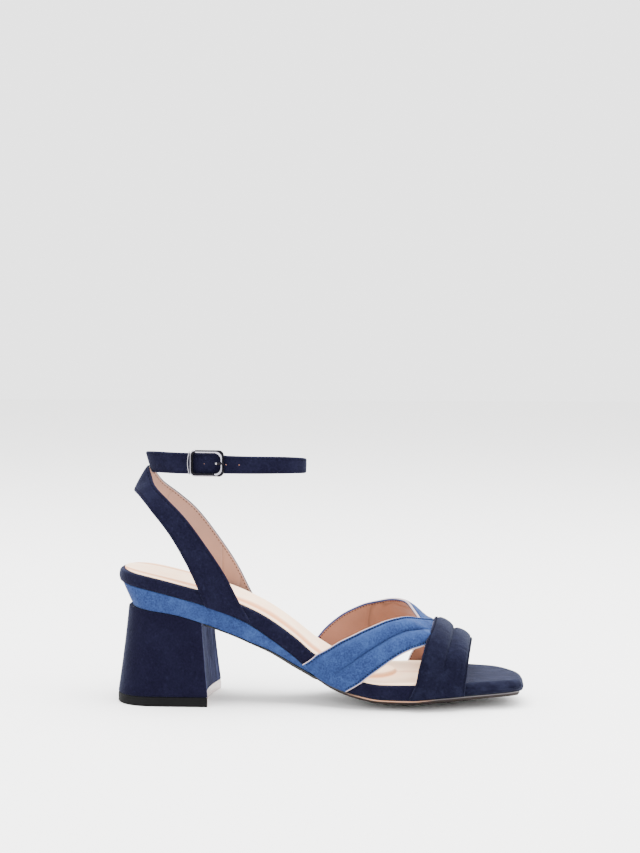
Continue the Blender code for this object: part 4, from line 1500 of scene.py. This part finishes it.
@dataclass
class Heel:
    """The flared block with its hollow breast, and the rubber top piece."""

    form: SoleForm
    width: float = 0.062
    flare_side: float = 0.0048
    back: float = -0.0308
    flare_back: float = 0.0064
    breast: float = 0.0263
    flare_breast: float = 0.0041
    back_round: float = 0.030
    fullness: float = 2.6
    front_taper: float = 0.03
    flare_curve: float = 0.22
    hollow: float = 0.0035
    top_piece: float = 0.0055
    top_bevel: float = 0.0005
    top_step: float = 0.0002
    turn_in: float = 0.0004
    corner: float = 0.0005
    middle_back: float = -0.016
    middle_front: float = 0.010
    samples: int = 2000
    side_points: int = 60
    breast_points: int = 41
    corner_points: int = 4

    def flare(self, w: float) -> float:
        """Share of the flare that is gone at a height share w."""
        return w * (1.0 + self.flare_curve * (1.0 - w))

    def side(self, x: Array, back: float, front: float, w: float) -> Array:
        """Half the width.

        Args:
            x: Places along the heel.
            back: x of its back.
            front: x of its breast.
            w: Share of its height.

        Returns:
            The half width at each place.
        """
        half = self.width / 2.0 - self.flare_side * self.flare(w)
        taper = 1.0 - self.front_taper * soft_step((x - back) / (front - back))
        return half * rounded(x - back, self.back_round, self.fullness) * taper

    def loop(self, w: float, inset: float) -> Array:
        """Outline of the heel, from the outer breast corner round the back.

        Args:
            w: Share of its height.
            inset: How far in from its sides.

        Returns:
            The outline's x and y.
        """
        back = self.back + self.flare_back * self.flare(w)
        front = self.breast - self.flare_breast * self.flare(w)
        xs = even_places(back, front, lambda x: self.side(x, back, front, w), self.samples,
                         self.side_points, self.corner)
        half = self.side(xs, back, front, w)
        outer = np.stack([xs, -half], axis=1)[::-1]
        inner = np.stack([xs, half], axis=1)[1:]
        edge = self.side(np.asarray([front]), back, front, w)[0]
        y = np.linspace(edge - self.corner, -edge + self.corner, self.breast_points)
        face = np.stack([front - self.hollow * (1.0 - (y / edge) ** 2), y], axis=1)
        turn = np.linspace(0.0, 1.0, self.corner_points + 2)[1:-1, None]

        def fillet(start: Array, peak: Array, stop: Array) -> Array:
            """Points round a corner."""
            return (1 - turn) ** 2 * start + 2 * turn * (1 - turn) * peak + turn ** 2 * stop

        inner_turn = fillet(inner[-1], np.asarray([front, edge]), face[0])
        outer_turn = fillet(face[-1], np.asarray([front, -edge]), outer[0])
        return inset_loop(np.concatenate([outer, inner, inner_turn, face, outer_turn]), -inset)

    def slots(self, count: int) -> list[int]:
        """Slot of the strip after each point of an outline: 1 on the breast, 0 elsewhere."""
        start = 2 * self.side_points + 1
        stop = start + self.corner_points + self.breast_points
        return [1 if start <= place < stop else 0 for place in range(count)]

    def column(self, name: str, levels: Sequence[Level], height: Callable[[Array, float], Array],
               finishes: Sequence[Finish]) -> bpy.types.Object:
        """A closed block of loops.

        Args:
            name: The piece's name.
            levels: The loops, from the foot up.
            height: z at places x for a height share.
            finishes: For the block and for its breast.

        Returns:
            The piece.
        """
        rings = []
        for level in levels:
            xy = self.loop(level.flare, level.inset)
            middle = np.clip(xy[:, 0], self.middle_back, self.middle_front)
            xy = xy + (np.stack([middle, 0.0 * middle], axis=1) - xy) * level.inwards
            rings.append(np.column_stack([xy, height(xy[:, 0], level.up)]))
        return ring_mesh(name, rings, finishes, self.slots(len(rings[0])))

    def block(self) -> bpy.types.Object:
        """The suede-covered block, its cover turned under at both ends."""
        foot = self.top_piece + GAP

        def height(x: Array, w: float) -> Array:
            """z between the top piece and the wedge."""
            return foot + (self.form.wedge_base(x) - GAP - foot) * w

        levels = [Level(0.0, 0.0, self.turn_in, share) for share in (1.0, 0.5, 0.0)]
        levels += [Level(w, w) for w in (0.008, 0.03, *np.linspace(0.08, 0.94, 26), 0.975, 0.993)]
        levels += [Level(1.0, 1.0, self.turn_in, share) for share in (0.0, 0.5, 1.0)]
        # The breast takes the lighter navy, painted light.
        return self.column("heel_cover", levels, height, [Finish.HEEL_NAVY, Finish.BREAST])

    def lift(self) -> bpy.types.Object:
        """The rubber top piece, bevelled at the floor, with a fine step round its upper edge."""

        def height(x: Array, w: float) -> Array:
            """z at a share of the thickness."""
            return np.full_like(x, self.top_piece * w)

        levels = [Level(0.0, 0.0, self.top_bevel, share) for share in (1.0, 0.5, 0.0)]
        levels += [Level(0.0, w) for w in (0.09, 0.4, 0.7, 0.74)]
        levels += [Level(0.0, w, self.top_step) for w in (0.76, 0.95)]
        levels += [Level(0.0, 1.0, 0.5 * self.top_bevel, share) for share in (0.0, 0.5, 1.0)]
        return self.column("heel_top_piece", levels, height, [Finish.TOP_PIECE, Finish.TOP_BREAST])

    def build(self) -> None:
        """Make both."""
        report(self.block(), "navy_suede", "heel_block")
        report(self.lift(), "sole_rubber", "top_piece")


class Crease(NamedTuple):
    """A soft trough across a strap: its place, its width along v and u, and its depth."""

    u: float
    v: float
    wide: float
    narrow: float
    depth: float


OUTER_CREASES = (
    Crease(0.30, 0.22, 0.16, 0.012, 0.00016),
    Crease(0.36, 0.30, 0.14, 0.012, 0.00014),
    Crease(0.44, 0.72, 0.14, 0.014, 0.00018),
    Crease(0.52, 0.76, 0.15, 0.012, 0.00016),
    Crease(0.22, 0.70, 0.20, 0.020, 0.00018),
)
INNER_CREASES = (
    Crease(0.46, 0.25, 0.16, 0.012, 0.00018),
    Crease(0.55, 0.72, 0.15, 0.012, 0.00016),
    Crease(0.68, 0.30, 0.16, 0.014, 0.00016),
)
BAND_CREASES = (
    Crease(0.24, 0.25, 0.18, 0.010, 0.00020),
    Crease(0.29, 0.74, 0.18, 0.010, 0.00020),
    Crease(0.37, 0.30, 0.16, 0.012, 0.00016),
    Crease(0.64, 0.70, 0.18, 0.012, 0.00018),
    Crease(0.72, 0.26, 0.16, 0.012, 0.00018),
)


def creases(rows: Sequence[Crease]) -> Callable[[Array, Array], Array]:
    """The height that a strap's creases add at u and v."""

    def height(u: Array, v: Array) -> Array:
        """All the troughs together."""
        total = 0.0 * u
        for row in rows:
            off = ((u - row.u) / row.narrow) ** 2 + ((v - row.v) / row.wide) ** 2
            total = total - row.depth * np.exp(-off)
        return total

    return height


@dataclass
class ForefootStraps:
    """The crossed blue straps and the navy band over them."""

    form: SoleForm
    stitches: StitchTree
    thickness: float = 0.0018
    edge: float = 0.0017
    strap_padding: float = 0.0021
    band_padding: float = 0.0019
    strap_flange: float = 0.0018
    band_flange: float = 0.0012
    strap_turn: float = 0.10
    band_turn: float = 0.30
    strap_stations: int = 130
    band_stations: int = 170
    under_band_gap: float = 0.0005
    under_band_blend: float = 0.007
    stitch: StitchSize = StitchSize(pitch=0.0018, length=0.0011, radius=0.00031)
    stitch_share: float = 0.80
    stitch_top: float = 0.00168
    stitch_below: float = -0.00004

    def surface(self, table: Sequence[Edge]) -> Surface:
        """The surface of the last under a strap.

        Args:
            table: The strap's edges.

        Returns:
            The surface: u from the table's first turn to its last, v from rear to front.
        """
        curves = {name: Curve.of(table, "turn", name) for name in ("rear", "front", "lift")}
        first, final = table[0].turn, table[-1].turn
        form, thickness = self.form, self.thickness

        def place(u: Array, v: Array) -> Array:
            """Points on the last."""
            turn = first + (final - first) * u
            rear, front = curves["rear"](turn), curves["front"](turn)
            x = form.back + form.length * (rear + (front - rear) * v)
            return form.last_point(x, turn, thickness * curves["lift"](turn))

        return place

    def blue(self, table: Sequence[Edge], relief: Sequence[Crease]) -> Strap:
        """A blue strap, whose padding fades at its feet and before the band.

        Args:
            table: Its edges.
            relief: Its creases.

        Returns:
            The strap.
        """
        stations, turn, ends = self.stations(table, self.strap_stations, self.strap_turn)
        places = [Curve.of(table, "turn", name)(turn) for name in ("rear", "front")]
        x = self.form.back + self.form.length * 0.5 * (places[0] + places[1])
        rear = self.form.back + self.form.length * Curve.of(TOE_BAND, "turn", "rear")(turn)
        ends = ends * soft_step((rear - self.under_band_gap - x) / self.under_band_blend)
        profile = self.profile(self.strap_flange, (3, 4, 5, 6))
        return Strap(self.surface(table), profile, stations, self.strap_padding * ends, -1.0,
                     relief=creases(relief))

    def band(self) -> Strap:
        """The navy band over the toes."""
        stations, _, ends = self.stations(TOE_BAND, self.band_stations, self.band_turn)
        profile = self.profile(self.band_flange, (0, 1, 2, 3))
        return Strap(self.surface(TOE_BAND), profile, stations, self.band_padding * ends, -1.0,
                     relief=creases(BAND_CREASES))

    def stations(self, table: Sequence[Edge], count: int, fade: float) -> tuple[Array, Array, Array]:
        """Places along a strap.

        Args:
            table: The strap's edges.
            count: How many places.
            fade: Turn at each foot over which its padding fades.

        Returns:
            Their shares of its length, their turns over the last, and the padding's share.
        """
        stations = np.linspace(0.0, 1.0, count)
        turn = table[0].turn + (table[-1].turn - table[0].turn) * stations
        return stations, turn, soft_step(np.minimum(np.abs(turn), np.abs(1.0 - turn)) / fade)

    def profile(self, flange: float, pale_steps: tuple[int, ...]) -> StrapProfile:
        """Cross-section in two channels, with its pale edge on some steps of the rounding."""
        return StrapProfile(thickness=self.thickness, edge=self.edge, flange=flange, groove=0.0003,
                            channels=2, fullness=0.6, pale_steps=pale_steps)

    def build(self) -> None:
        """Make the straps, the band and their stitches."""
        outer, inner = self.blue(OUTER_STRAP, OUTER_CREASES), self.blue(INNER_STRAP, INNER_CREASES)
        band = self.band()
        for name, strap, top, slot, node in (
                ("outer_strap", outer, Finish.BLUE, "blue_suede", "cross_straps"),
                ("inner_strap", inner, Finish.BLUE, "blue_suede", "cross_straps"),
                ("toe_band_cover", band, Finish.BAND_NAVY, "navy_suede", "toe_band")):
            piece = strap.build(name, [top, Finish.LINING, Finish.PALE_EDGE])
            report(piece, slot, node)
        self.sew("cross_strap", (outer, inner), "blue_suede", Finish.BLUE_THREAD)
        self.sew("toe_band", (band,), "navy_suede", Finish.NAVY_THREAD)

    def sew(self, name: str, straps: Sequence[Strap], slot: str, thread: Finish) -> None:
        """Stitch lines on top and on the lining, along both edges of straps.

        Args:
            name: First words of the two pieces' names.
            straps: The straps.
            slot: The record's material slot.
            thread: The thread on top.
        """
        for kind, height, finish in (("_stitches", self.stitch_top, thread),
                                     ("_lining_stitches", self.stitch_below, Finish.DARK_THREAD)):
            seams = [strap.seam(edge, strap.profile.flange * self.stitch_share, height, 0.02, 0.98)
                     for strap in straps for edge in (Anchor.REAR, Anchor.FRONT)]
            report(self.stitches.sew(name + kind, seams, finish, self.stitch), slot)


@dataclass
class HeelSling:
    """The sling round the back of the heel."""

    form: SoleForm
    stitches: StitchTree
    height: float = 0.1391
    reach: float = 0.0200
    thickness: float = 0.0016
    ends: tuple[float, float] = (0.004, 0.996)
    stations: int = 230
    stitch_inset: float = 0.0016
    stitch_top: float = 0.00142
    stitch_below: float = -0.00004

    def surface(self) -> Surface:
        """The sling's inner face.

        Returns:
            The surface: u from the outer foot round the back, v from rear to front.
        """
        curves = {name: Curve.of(SLING, "turn", name) for name in Rung._fields[1:]}
        seat_half = self.form.ball_width * SECTIONS[2].outer + GAP
        height, reach = self.height, self.reach

        def edge(name: str, turn: Array, side: Array) -> Array:
            """Points of the rear or front edge."""
            return np.stack([reach * curves[name + "_ahead"](turn),
                             side * seat_half * curves[name + "_aside"](turn),
                             height * curves[name + "_up"](turn)], axis=-1)

        def place(u: Array, v: Array) -> Array:
            """Points between the two edges."""
            u = np.clip(u, 0.0, 1.0)
            turn = 1.0 - np.abs(1.0 - 2.0 * u)
            side = np.where(u < 0.5, -1.0, 1.0)
            rear, front = edge("rear", turn, side), edge("front", turn, side)
            return rear + (front - rear) * v[..., None]

        return place

    def build(self) -> None:
        """Make the sling and its stitches."""
        profile = StrapProfile(thickness=self.thickness, edge=0.0014, flange=0.0016, groove=0.00012,
                               crown=0.0002, steps=14, pale_steps=(0,))
        stations = np.linspace(*self.ends, self.stations)
        sling = Strap(self.surface(), profile, stations, 0.0 * stations, side=-1.0)
        cover = sling.build("sling_cover", [Finish.NAVY, Finish.SLING_LINING, Finish.PALE_EDGE])
        report(cover, "navy_suede", "heel_sling")
        for name, height, thread, size in (
                ("sling_stitches", self.stitch_top, Finish.NAVY_THREAD, StitchSize()),
                ("sling_lining_stitches", self.stitch_below, Finish.DARK_THREAD,
                 StitchSize(pitch=0.0022, length=0.0013))):
            seams = [sling.seam(edge, self.stitch_inset, height, 0.02, 0.98)
                     for edge in (Anchor.REAR, Anchor.FRONT)]
            report(self.stitches.sew(name, seams, thread, size), "navy_suede")


@dataclass
class AnkleStrap:
    """The buckled strap round the ankle, with its row of holes."""

    stitches: StitchTree
    loop_length: float = 0.0965
    loop_width: float = 0.0440
    loop_back: float = -0.0148
    height: float = 0.1415
    width: float = 0.0104
    thickness: float = 0.0020
    back_lean: float = 0.33
    hole_radius: float = 0.00042
    hole_places: tuple[float, ...] = (0.0232, 0.0363, 0.0440)
    prong_hole_radius: float = 0.0008
    punch_length: float = 0.012
    turn_step: float = 0.01
    stations: int = 260
    stitch_inset: float = 0.0014
    stitch_sink: float = 0.00004
    stitch_rise: float = 0.00002
    stitch_radius: float = 0.0002

    def __post_init__(self) -> None:
        """Read the table."""
        self.columns = {name: Curve.of(ANKLE_TURNS, "around", name) for name in Turn._fields[1:]}

    def middle(self, around: Array, out: Array) -> Array:
        """The loop seen from above.

        Args:
            around: Shares around it.
            out: How far out from it.

        Returns:
            Its points.
        """
        angle = 2.0 * np.pi * around
        half_length, half_width = self.loop_length / 2.0, self.loop_width / 2.0
        here = np.stack([-half_length * np.cos(angle), -half_width * np.sin(angle), 0.0 * angle], axis=-1)
        normal = unit(here / np.asarray([half_length ** 2, half_width ** 2, 1.0]))
        return here + np.asarray([self.loop_back + half_length, 0.0, 0.0]) + normal * out[..., None]

    def place(self, around: Array, v: Array) -> Array:
        """The strap's outer face.

        Args:
            around: Shares around the loop.
            v: 0 at its lower edge, 1 at its upper edge.

        Returns:
            Its points.
        """
        around = np.mod(around, 1.0)
        width = self.width * self.columns["width"](around)
        drop = self.width * self.columns["drop"](around)
        up = width * (v - 0.5)
        lean = self.back_lean * self.columns["lean"](around)
        point = self.middle(around, lean * (up - width / 2.0))
        point[..., 2] = self.height - drop + up
        return point

    def around_at(self, x: float) -> float:
        """Share around the loop, on its outer side, at a place x."""
        half = self.loop_length / 2.0
        return math.acos((self.loop_back + half - x) / half) / (2.0 * math.pi)

    def axes(self, x: float) -> dict[str, Vector]:
        """The strap's face at a place on its outer side.

        Args:
            x: The place.

        Returns:
            Its middle, and the directions along, up and out.
        """
        around = np.asarray([self.around_at(x)])
        step = self.turn_step
        ahead = self.middle(around + step, 0.0 * around) - self.middle(around - step, 0.0 * around)
        along = Vector(unit(ahead)[0])
        up = Vector((0.0, 0.0, 1.0))
        middle = Vector(self.place(around, 0.5 + 0.0 * around)[0])
        return {"middle": middle, "along": along, "up": up, "out": along.cross(up)}

    def build(self, prong_x: float) -> None:
        """Make the strap, its holes and its stitches.

        Args:
            prong_x: Where the prong comes through.
        """
        profile = StrapProfile(thickness=self.thickness, edge=self.thickness, flange=0.0016, groove=0.00012,
                               crown=0.0001, floor=-self.thickness, steps=10)
        stations = np.arange(self.stations) / self.stations
        strap = Strap(self.place, profile, stations, 0.0 * stations, side=1.0, closed=True)
        piece = strap.build("ankle_strap_cover", [Finish.NAVY, Finish.LINING, Finish.PALE_EDGE])
        for x in self.hole_places:
            self.punch(piece, x, self.hole_radius)
        self.punch(piece, prong_x, self.prong_hole_radius)
        piece.data.set_sharp_from_angle(angle=math.radians(50.0))
        report(piece, "navy_suede", "ankle_strap")
        whole = replace(strap, stations=np.append(stations, 1.0))
        for name, height, thread in (
                ("ankle_strap_stitches", self.stitch_rise, Finish.NAVY_THREAD),
                ("ankle_lining_stitches", -self.thickness - self.stitch_sink, Finish.DARK_THREAD)):
            seams = [whole.seam(edge, self.stitch_inset, height) for edge in (Anchor.REAR, Anchor.FRONT)]
            size = StitchSize(radius=self.stitch_radius)
            report(self.stitches.sew(name, seams, thread, size), "navy_suede")

    def punch(self, piece: bpy.types.Object, x: float, radius: float) -> None:
        """Cut one hole through the strap's outer side.

        Args:
            piece: The strap.
            x: Where the hole lies.
            radius: Its radius.
        """
        axes = self.axes(x)
        bm = bmesh.new()
        bmesh.ops.create_cone(bm, cap_ends=True, segments=16, radius1=radius, radius2=radius,
                              depth=self.punch_length)
        turn = axes["out"].to_track_quat("Z", "Y").to_matrix().to_4x4()
        turn.translation = axes["middle"]
        bmesh.ops.transform(bm, matrix=turn, verts=bm.verts[:])
        mesh = bpy.data.meshes.new("punch")
        bm.to_mesh(mesh)
        bm.free()
        cutter = place_object("punch", mesh)
        cut = piece.modifiers.new("hole", "BOOLEAN")
        cut.operation = "DIFFERENCE"
        cut.solver = "EXACT"
        cut.object = cutter
        bake(piece)
        bpy.data.objects.remove(cutter)


@dataclass
class Buckle:
    """The frame with its pin and keeper bar, and the prong."""

    strap: AnkleStrap
    length: float = 0.0202
    height: float = 0.0156
    from_back: float = 0.0403
    raised: float = 0.0004
    bar: float = 0.0019
    depth: float = 0.0015
    ridge: float = 0.0006
    standoff: float = 0.0007
    corner: float = 0.0030
    pin: float = 0.0013
    arm: float = 0.0011
    arm_sink: float = 0.0004
    prong_diameter: float = 0.0015
    prong_setback: float = 0.0028
    prong_bend: float = 0.0014
    prong_overhang: float = 0.0004
    # Where along the prong's route the painted highlight runs.
    prong_bright: tuple[float, float] = (3.2, 4.9)
    front_corner: float = 0.0042
    keeper_gap: float = 0.0004
    keeper_bow: float = 0.0011
    keeper_share: float = 0.44
    keeper_radius: float = 0.00028

    def __post_init__(self) -> None:
        """Find the buckle's place on the strap."""
        self.x = self.strap.loop_back + self.from_back
        self.axes = self.strap.axes(self.x)
        self.seat = GAP + self.standoff
        self.behind = -(self.strap.thickness + 2.0 * GAP + self.prong_diameter / 2.0)
        self.prong_exit = self.length / 2.0 - self.bar - self.prong_setback

    def place(self, along: float, up: float, out: float) -> Vector:
        """A point in the buckle's own directions."""
        axes = self.axes
        return axes["middle"] + axes["along"] * along + axes["up"] * (up + self.raised) + axes["out"] * out

    def tube(self, sheet: MeshSheet, path: Sequence[tuple[float, float, float]], radii: Sequence[float],
             sides: int = 14, closed: bool = False, slots: Optional[Array] = None) -> None:
        """Add a round bar to a mesh.

        Args:
            sheet: The mesh.
            path: The bar's middle line, in the buckle's own directions.
            radii: Its radius at each point.
            sides: Sides of its section.
            closed: Its end joins its start.
            slots: Slot at each point.
        """
        points = np.asarray([tuple(self.place(*point)) for point in path])
        if closed:
            along = unit(np.roll(points, -1, axis=0) - np.roll(points, 1, axis=0))
        else:
            along = unit(np.gradient(points, axis=0))
        out = np.asarray(tuple(self.axes["out"]))
        across = unit(np.cross(along, out + 0.31 * np.asarray(tuple(self.axes["up"]))))
        lift = np.cross(across, along)
        angle = 2.0 * np.pi * np.arange(sides) / sides
        ring = (np.cos(angle)[None, :, None] * across[:, None, :]
                + np.sin(angle)[None, :, None] * lift[:, None, :])
        skin = points[:, None, :] + ring * np.asarray(radii)[:, None, None]
        rows = None if slots is None else np.repeat(slots[:, None], sides, axis=1)
        sheet.grid(skin, rows, close_rows=closed, close_columns=True, caps=not closed)

    def rounded_path(self, half_along: float, half_up: float, back_corner: float, front_corner: float,
                     steps: int) -> list[tuple[float, float]]:
        """Outline of a rectangle with round corners, which may be rounder in front.

        Args:
            half_along: Half its length.
            half_up: Half its height.
            back_corner: Radius of its two corners at the back.
            front_corner: Radius of its two corners in front.
            steps: Steps round each corner.

        Returns:
            Its points, along and up.
        """
        points = []
        for quarter in range(4):
            corner = front_corner if quarter in (0, 3) else back_corner
            centre_along = (half_along - corner) * (1 if quarter in (0, 3) else -1)
            centre_up = (half_up - corner) * (1 if quarter in (0, 1) else -1)
            for i in range(steps + 1):
                angle = math.pi / 2.0 * (quarter + i / steps)
                points.append((centre_along + corner * math.cos(angle),
                               centre_up + corner * math.sin(angle)))
        return points

    def frame(self) -> bpy.types.Object:
        """The rounded frame with pin and arms: a crowned bar with painted highlights of brighter metal along
        its inner and outer edges.

        Returns:
            The piece.
        """
        steps = 12
        half_along, half_up = self.length / 2.0, self.height / 2.0
        outer = np.asarray(self.rounded_path(half_along, half_up, self.corner, self.corner, steps))
        inner = np.asarray(self.rounded_path(half_along - self.bar, half_up - self.bar,
                                             self.corner - 0.6 * self.bar, self.front_corner, steps))
        top = self.depth + self.ridge
        section = (
            (0.10, 0.00), (0.03, 0.06), (0.00, 0.25), (0.00, 0.55), (0.04, 0.74), (0.14, 0.90), (0.30, 0.98),
            (0.50, 1.00), (0.70, 0.98), (0.86, 0.90), (0.96, 0.74), (1.00, 0.55), (1.00, 0.25), (0.97, 0.06),
            (0.90, 0.00),
        )
        points = np.zeros((len(outer), len(section), 3))
        for i, (start, stop) in enumerate(zip(outer, inner)):
            for j, (share, up) in enumerate(section):
                flat = start + (stop - start) * share
                points[i, j] = self.place(flat[0], flat[1], self.seat + top * up)
        sheet = MeshSheet()
        # Slot 1, the brighter metal, is painted highlight: strips of the crown, of the outer slope and of
        # the inner face.
        slots = np.zeros((len(outer), len(section)), int)
        front = np.repeat([True, False, False, True], steps + 1)
        slots[np.ix_(front, (7, 8))] = 1
        slots[np.ix_(~front, (4, 5))] = 1
        slots[:, 11] = 1
        sheet.grid(points, slots, close_rows=True, close_columns=True)
        pin_end = self.height / 2.0 - self.arm_sink
        half_pin = self.pin / 2.0
        self.tube(sheet, [(0.0, pin_end * t, self.behind) for t in (-1.0, 0.0, 1.0)], [half_pin] * 3)
        for side in (-1.0, 1.0):
            up = side * (pin_end - half_pin)
            path = [(0.0, up, self.behind), (0.0, up, self.seat + self.depth / 2.0)]
            self.tube(sheet, path, [self.arm / 2.0] * 2)
        return sheet.build("buckle_frame_metal", [Finish.GUNMETAL, Finish.POLISHED], sharp=40.0)

    def keeper(self) -> bpy.types.Object:
        """The slim bar beside the frame that the strap's fold is sewn round."""
        path = []
        for t in np.linspace(-1.0, 1.0, 17):
            behind = self.length / 2.0 + self.keeper_gap + self.keeper_bow * (1.0 - t * t)
            path.append((-behind, self.keeper_share * self.height * t, self.seat + self.keeper_gap))
        sheet = MeshSheet()
        self.tube(sheet, path, [self.keeper_radius] * len(path), sides=10)
        return sheet.build("buckle_keeper_bar", [Finish.POLISHED], sharp=40.0)

    def prong(self) -> bpy.types.Object:
        """The prong, bent out through the strap and over the front bar.

        Returns:
            The piece.
        """
        over = self.seat + self.depth + self.ridge + GAP + self.prong_diameter / 2.0
        through, bend = self.prong_exit, self.prong_bend
        route = (
            (self.pin / 2.0 + GAP, self.behind), (through - bend, self.behind),
            (through - 0.2 * bend, self.behind + 0.7 * bend), (through, -self.strap.thickness / 2.0),
            (through + 0.2 * bend, over - 0.65 * bend), (through + 0.85 * bend, over - 0.07 * bend),
            (through + 1.85 * bend, over), (self.length / 2.0 + self.prong_overhang, over),
        )
        keys = np.arange(len(route), dtype=float)
        at = np.linspace(0.0, keys[-1], 60)
        along, out = (Curve(keys, column)(at) for column in zip(*route))
        path = [(float(a), 0.0, float(o)) for a, o in zip(along, out)]
        radii = self.prong_diameter / 2.0 * (0.55 + 0.45 * rounded(keys[-1] - at, 2.2))
        # Painted highlight: brighter metal on the prong's bend.
        highlight_rows = ((at > self.prong_bright[0]) & (at < self.prong_bright[1])).astype(int)
        sheet = MeshSheet()
        self.tube(sheet, path, radii, slots=highlight_rows)
        return sheet.build("buckle_prong_metal", [Finish.GUNMETAL, Finish.POLISHED], sharp=40.0)

    def build(self) -> None:
        """Make the metal pieces."""
        report(self.frame(), "gunmetal", "buckle_frame")
        report(self.keeper(), "gunmetal")
        report(self.prong(), "gunmetal", "buckle_prong")


class Lamp(NamedTuple):
    """A soft box: its place, its two sides and its power."""

    name: str
    place: tuple[float, float, float]
    sides: tuple[float, float]
    power: float


LAMPS = (
    Lamp("top_box", (0.10, 0.10, 1.60), (1.8, 1.4), 80.0),
    Lamp("front_box", (-0.70, -1.70, 1.10), (1.2, 1.2), 10.0),
    Lamp("right_box", (1.40, -0.30, 0.80), (0.9, 1.2), 16.0),
    Lamp("left_box", (-1.30, 0.20, 0.70), (0.7, 1.1), 8.0),
)


@dataclass
class Studio:
    """Camera, floor and soft lights."""

    eye: tuple[float, float, float] = (0.18679302, -1.15741431, 0.23004907)
    yaw: float = math.radians(4.8)
    pitch: float = math.radians(3.3034)
    focal: float = 1965.8
    image_height: float = 853.0
    sensor: float = 36.0
    floor_size: float = 8.0
    floor_colour: Colour = (0.93, 0.925, 0.92)
    aim: tuple[float, float, float] = (0.08, 0.0, 0.06)
    room_light: float = 2.9

    def camera(self) -> None:
        """The camera at the photograph's place."""
        data = bpy.data.cameras.new("camera")
        data.sensor_width = self.sensor
        data.lens = self.focal * self.sensor / self.image_height
        data.clip_start, data.clip_end = 0.05, 30.0
        camera = place_object("camera", data)
        look = Vector((-math.sin(self.yaw) * math.cos(self.pitch), math.cos(self.yaw) * math.cos(self.pitch),
                       -math.sin(self.pitch)))
        camera.location = self.eye
        camera.rotation_euler = look.to_track_quat("-Z", "Y").to_euler()
        bpy.context.scene.camera = camera

    def floor(self) -> None:
        """A plain pale floor."""
        half = self.floor_size / 2.0
        mesh = bpy.data.meshes.new("floor")
        corners = [(-half, -half, 0.0), (half, -half, 0.0), (half, half, 0.0), (-half, half, 0.0)]
        mesh.from_pydata(corners, [], [(0, 1, 2, 3)])
        sheet = NodeSheet("floor_paper")
        paper = sheet.shade(Base_Color=(*self.floor_colour, 1.0), Roughness=0.9, Specular_IOR_Level=0.1)
        mesh.materials.append(paper)
        floor = place_object("floor", mesh)

    def light(self, lamp: Lamp) -> None:
        """One soft box, aimed at the shoe."""
        data = bpy.data.lights.new(lamp.name, "AREA")
        data.shape = "RECTANGLE"
        data.size, data.size_y = lamp.sides
        data.energy = lamp.power
        light = place_object(lamp.name, data)
        light.location = lamp.place
        light.rotation_euler = (Vector(self.aim) - Vector(lamp.place)).to_track_quat("-Z", "Y").to_euler()

    def build(self) -> None:
        """Set the studio up."""
        self.camera()
        self.floor()
        for lamp in LAMPS:
            self.light(lamp)
        world = bpy.data.worlds.new("white_room")
        world.use_nodes = True
        background = world.node_tree.nodes["Background"]
        background.inputs["Color"].default_value = (1.0, 1.0, 1.0, 1.0)
        background.inputs["Strength"].default_value = self.room_light
        bpy.context.scene.world = world


def main() -> None:
    """Build the sandal and its studio."""
    logging.basicConfig(level=logging.INFO, format="%(name)s %(message)s")
    form = SoleForm()
    stitches = StitchTree()
    Studio().build()
    Platform(form).build()
    Undersole(form).build()
    Heel(form).build()
    ForefootStraps(form, stitches).build()
    HeelSling(form, stitches).build()
    strap = AnkleStrap(stitches)
    buckle = Buckle(strap)
    strap.build(buckle.x + buckle.prong_exit)
    buckle.build()


if __name__ == "__main__":
    main()
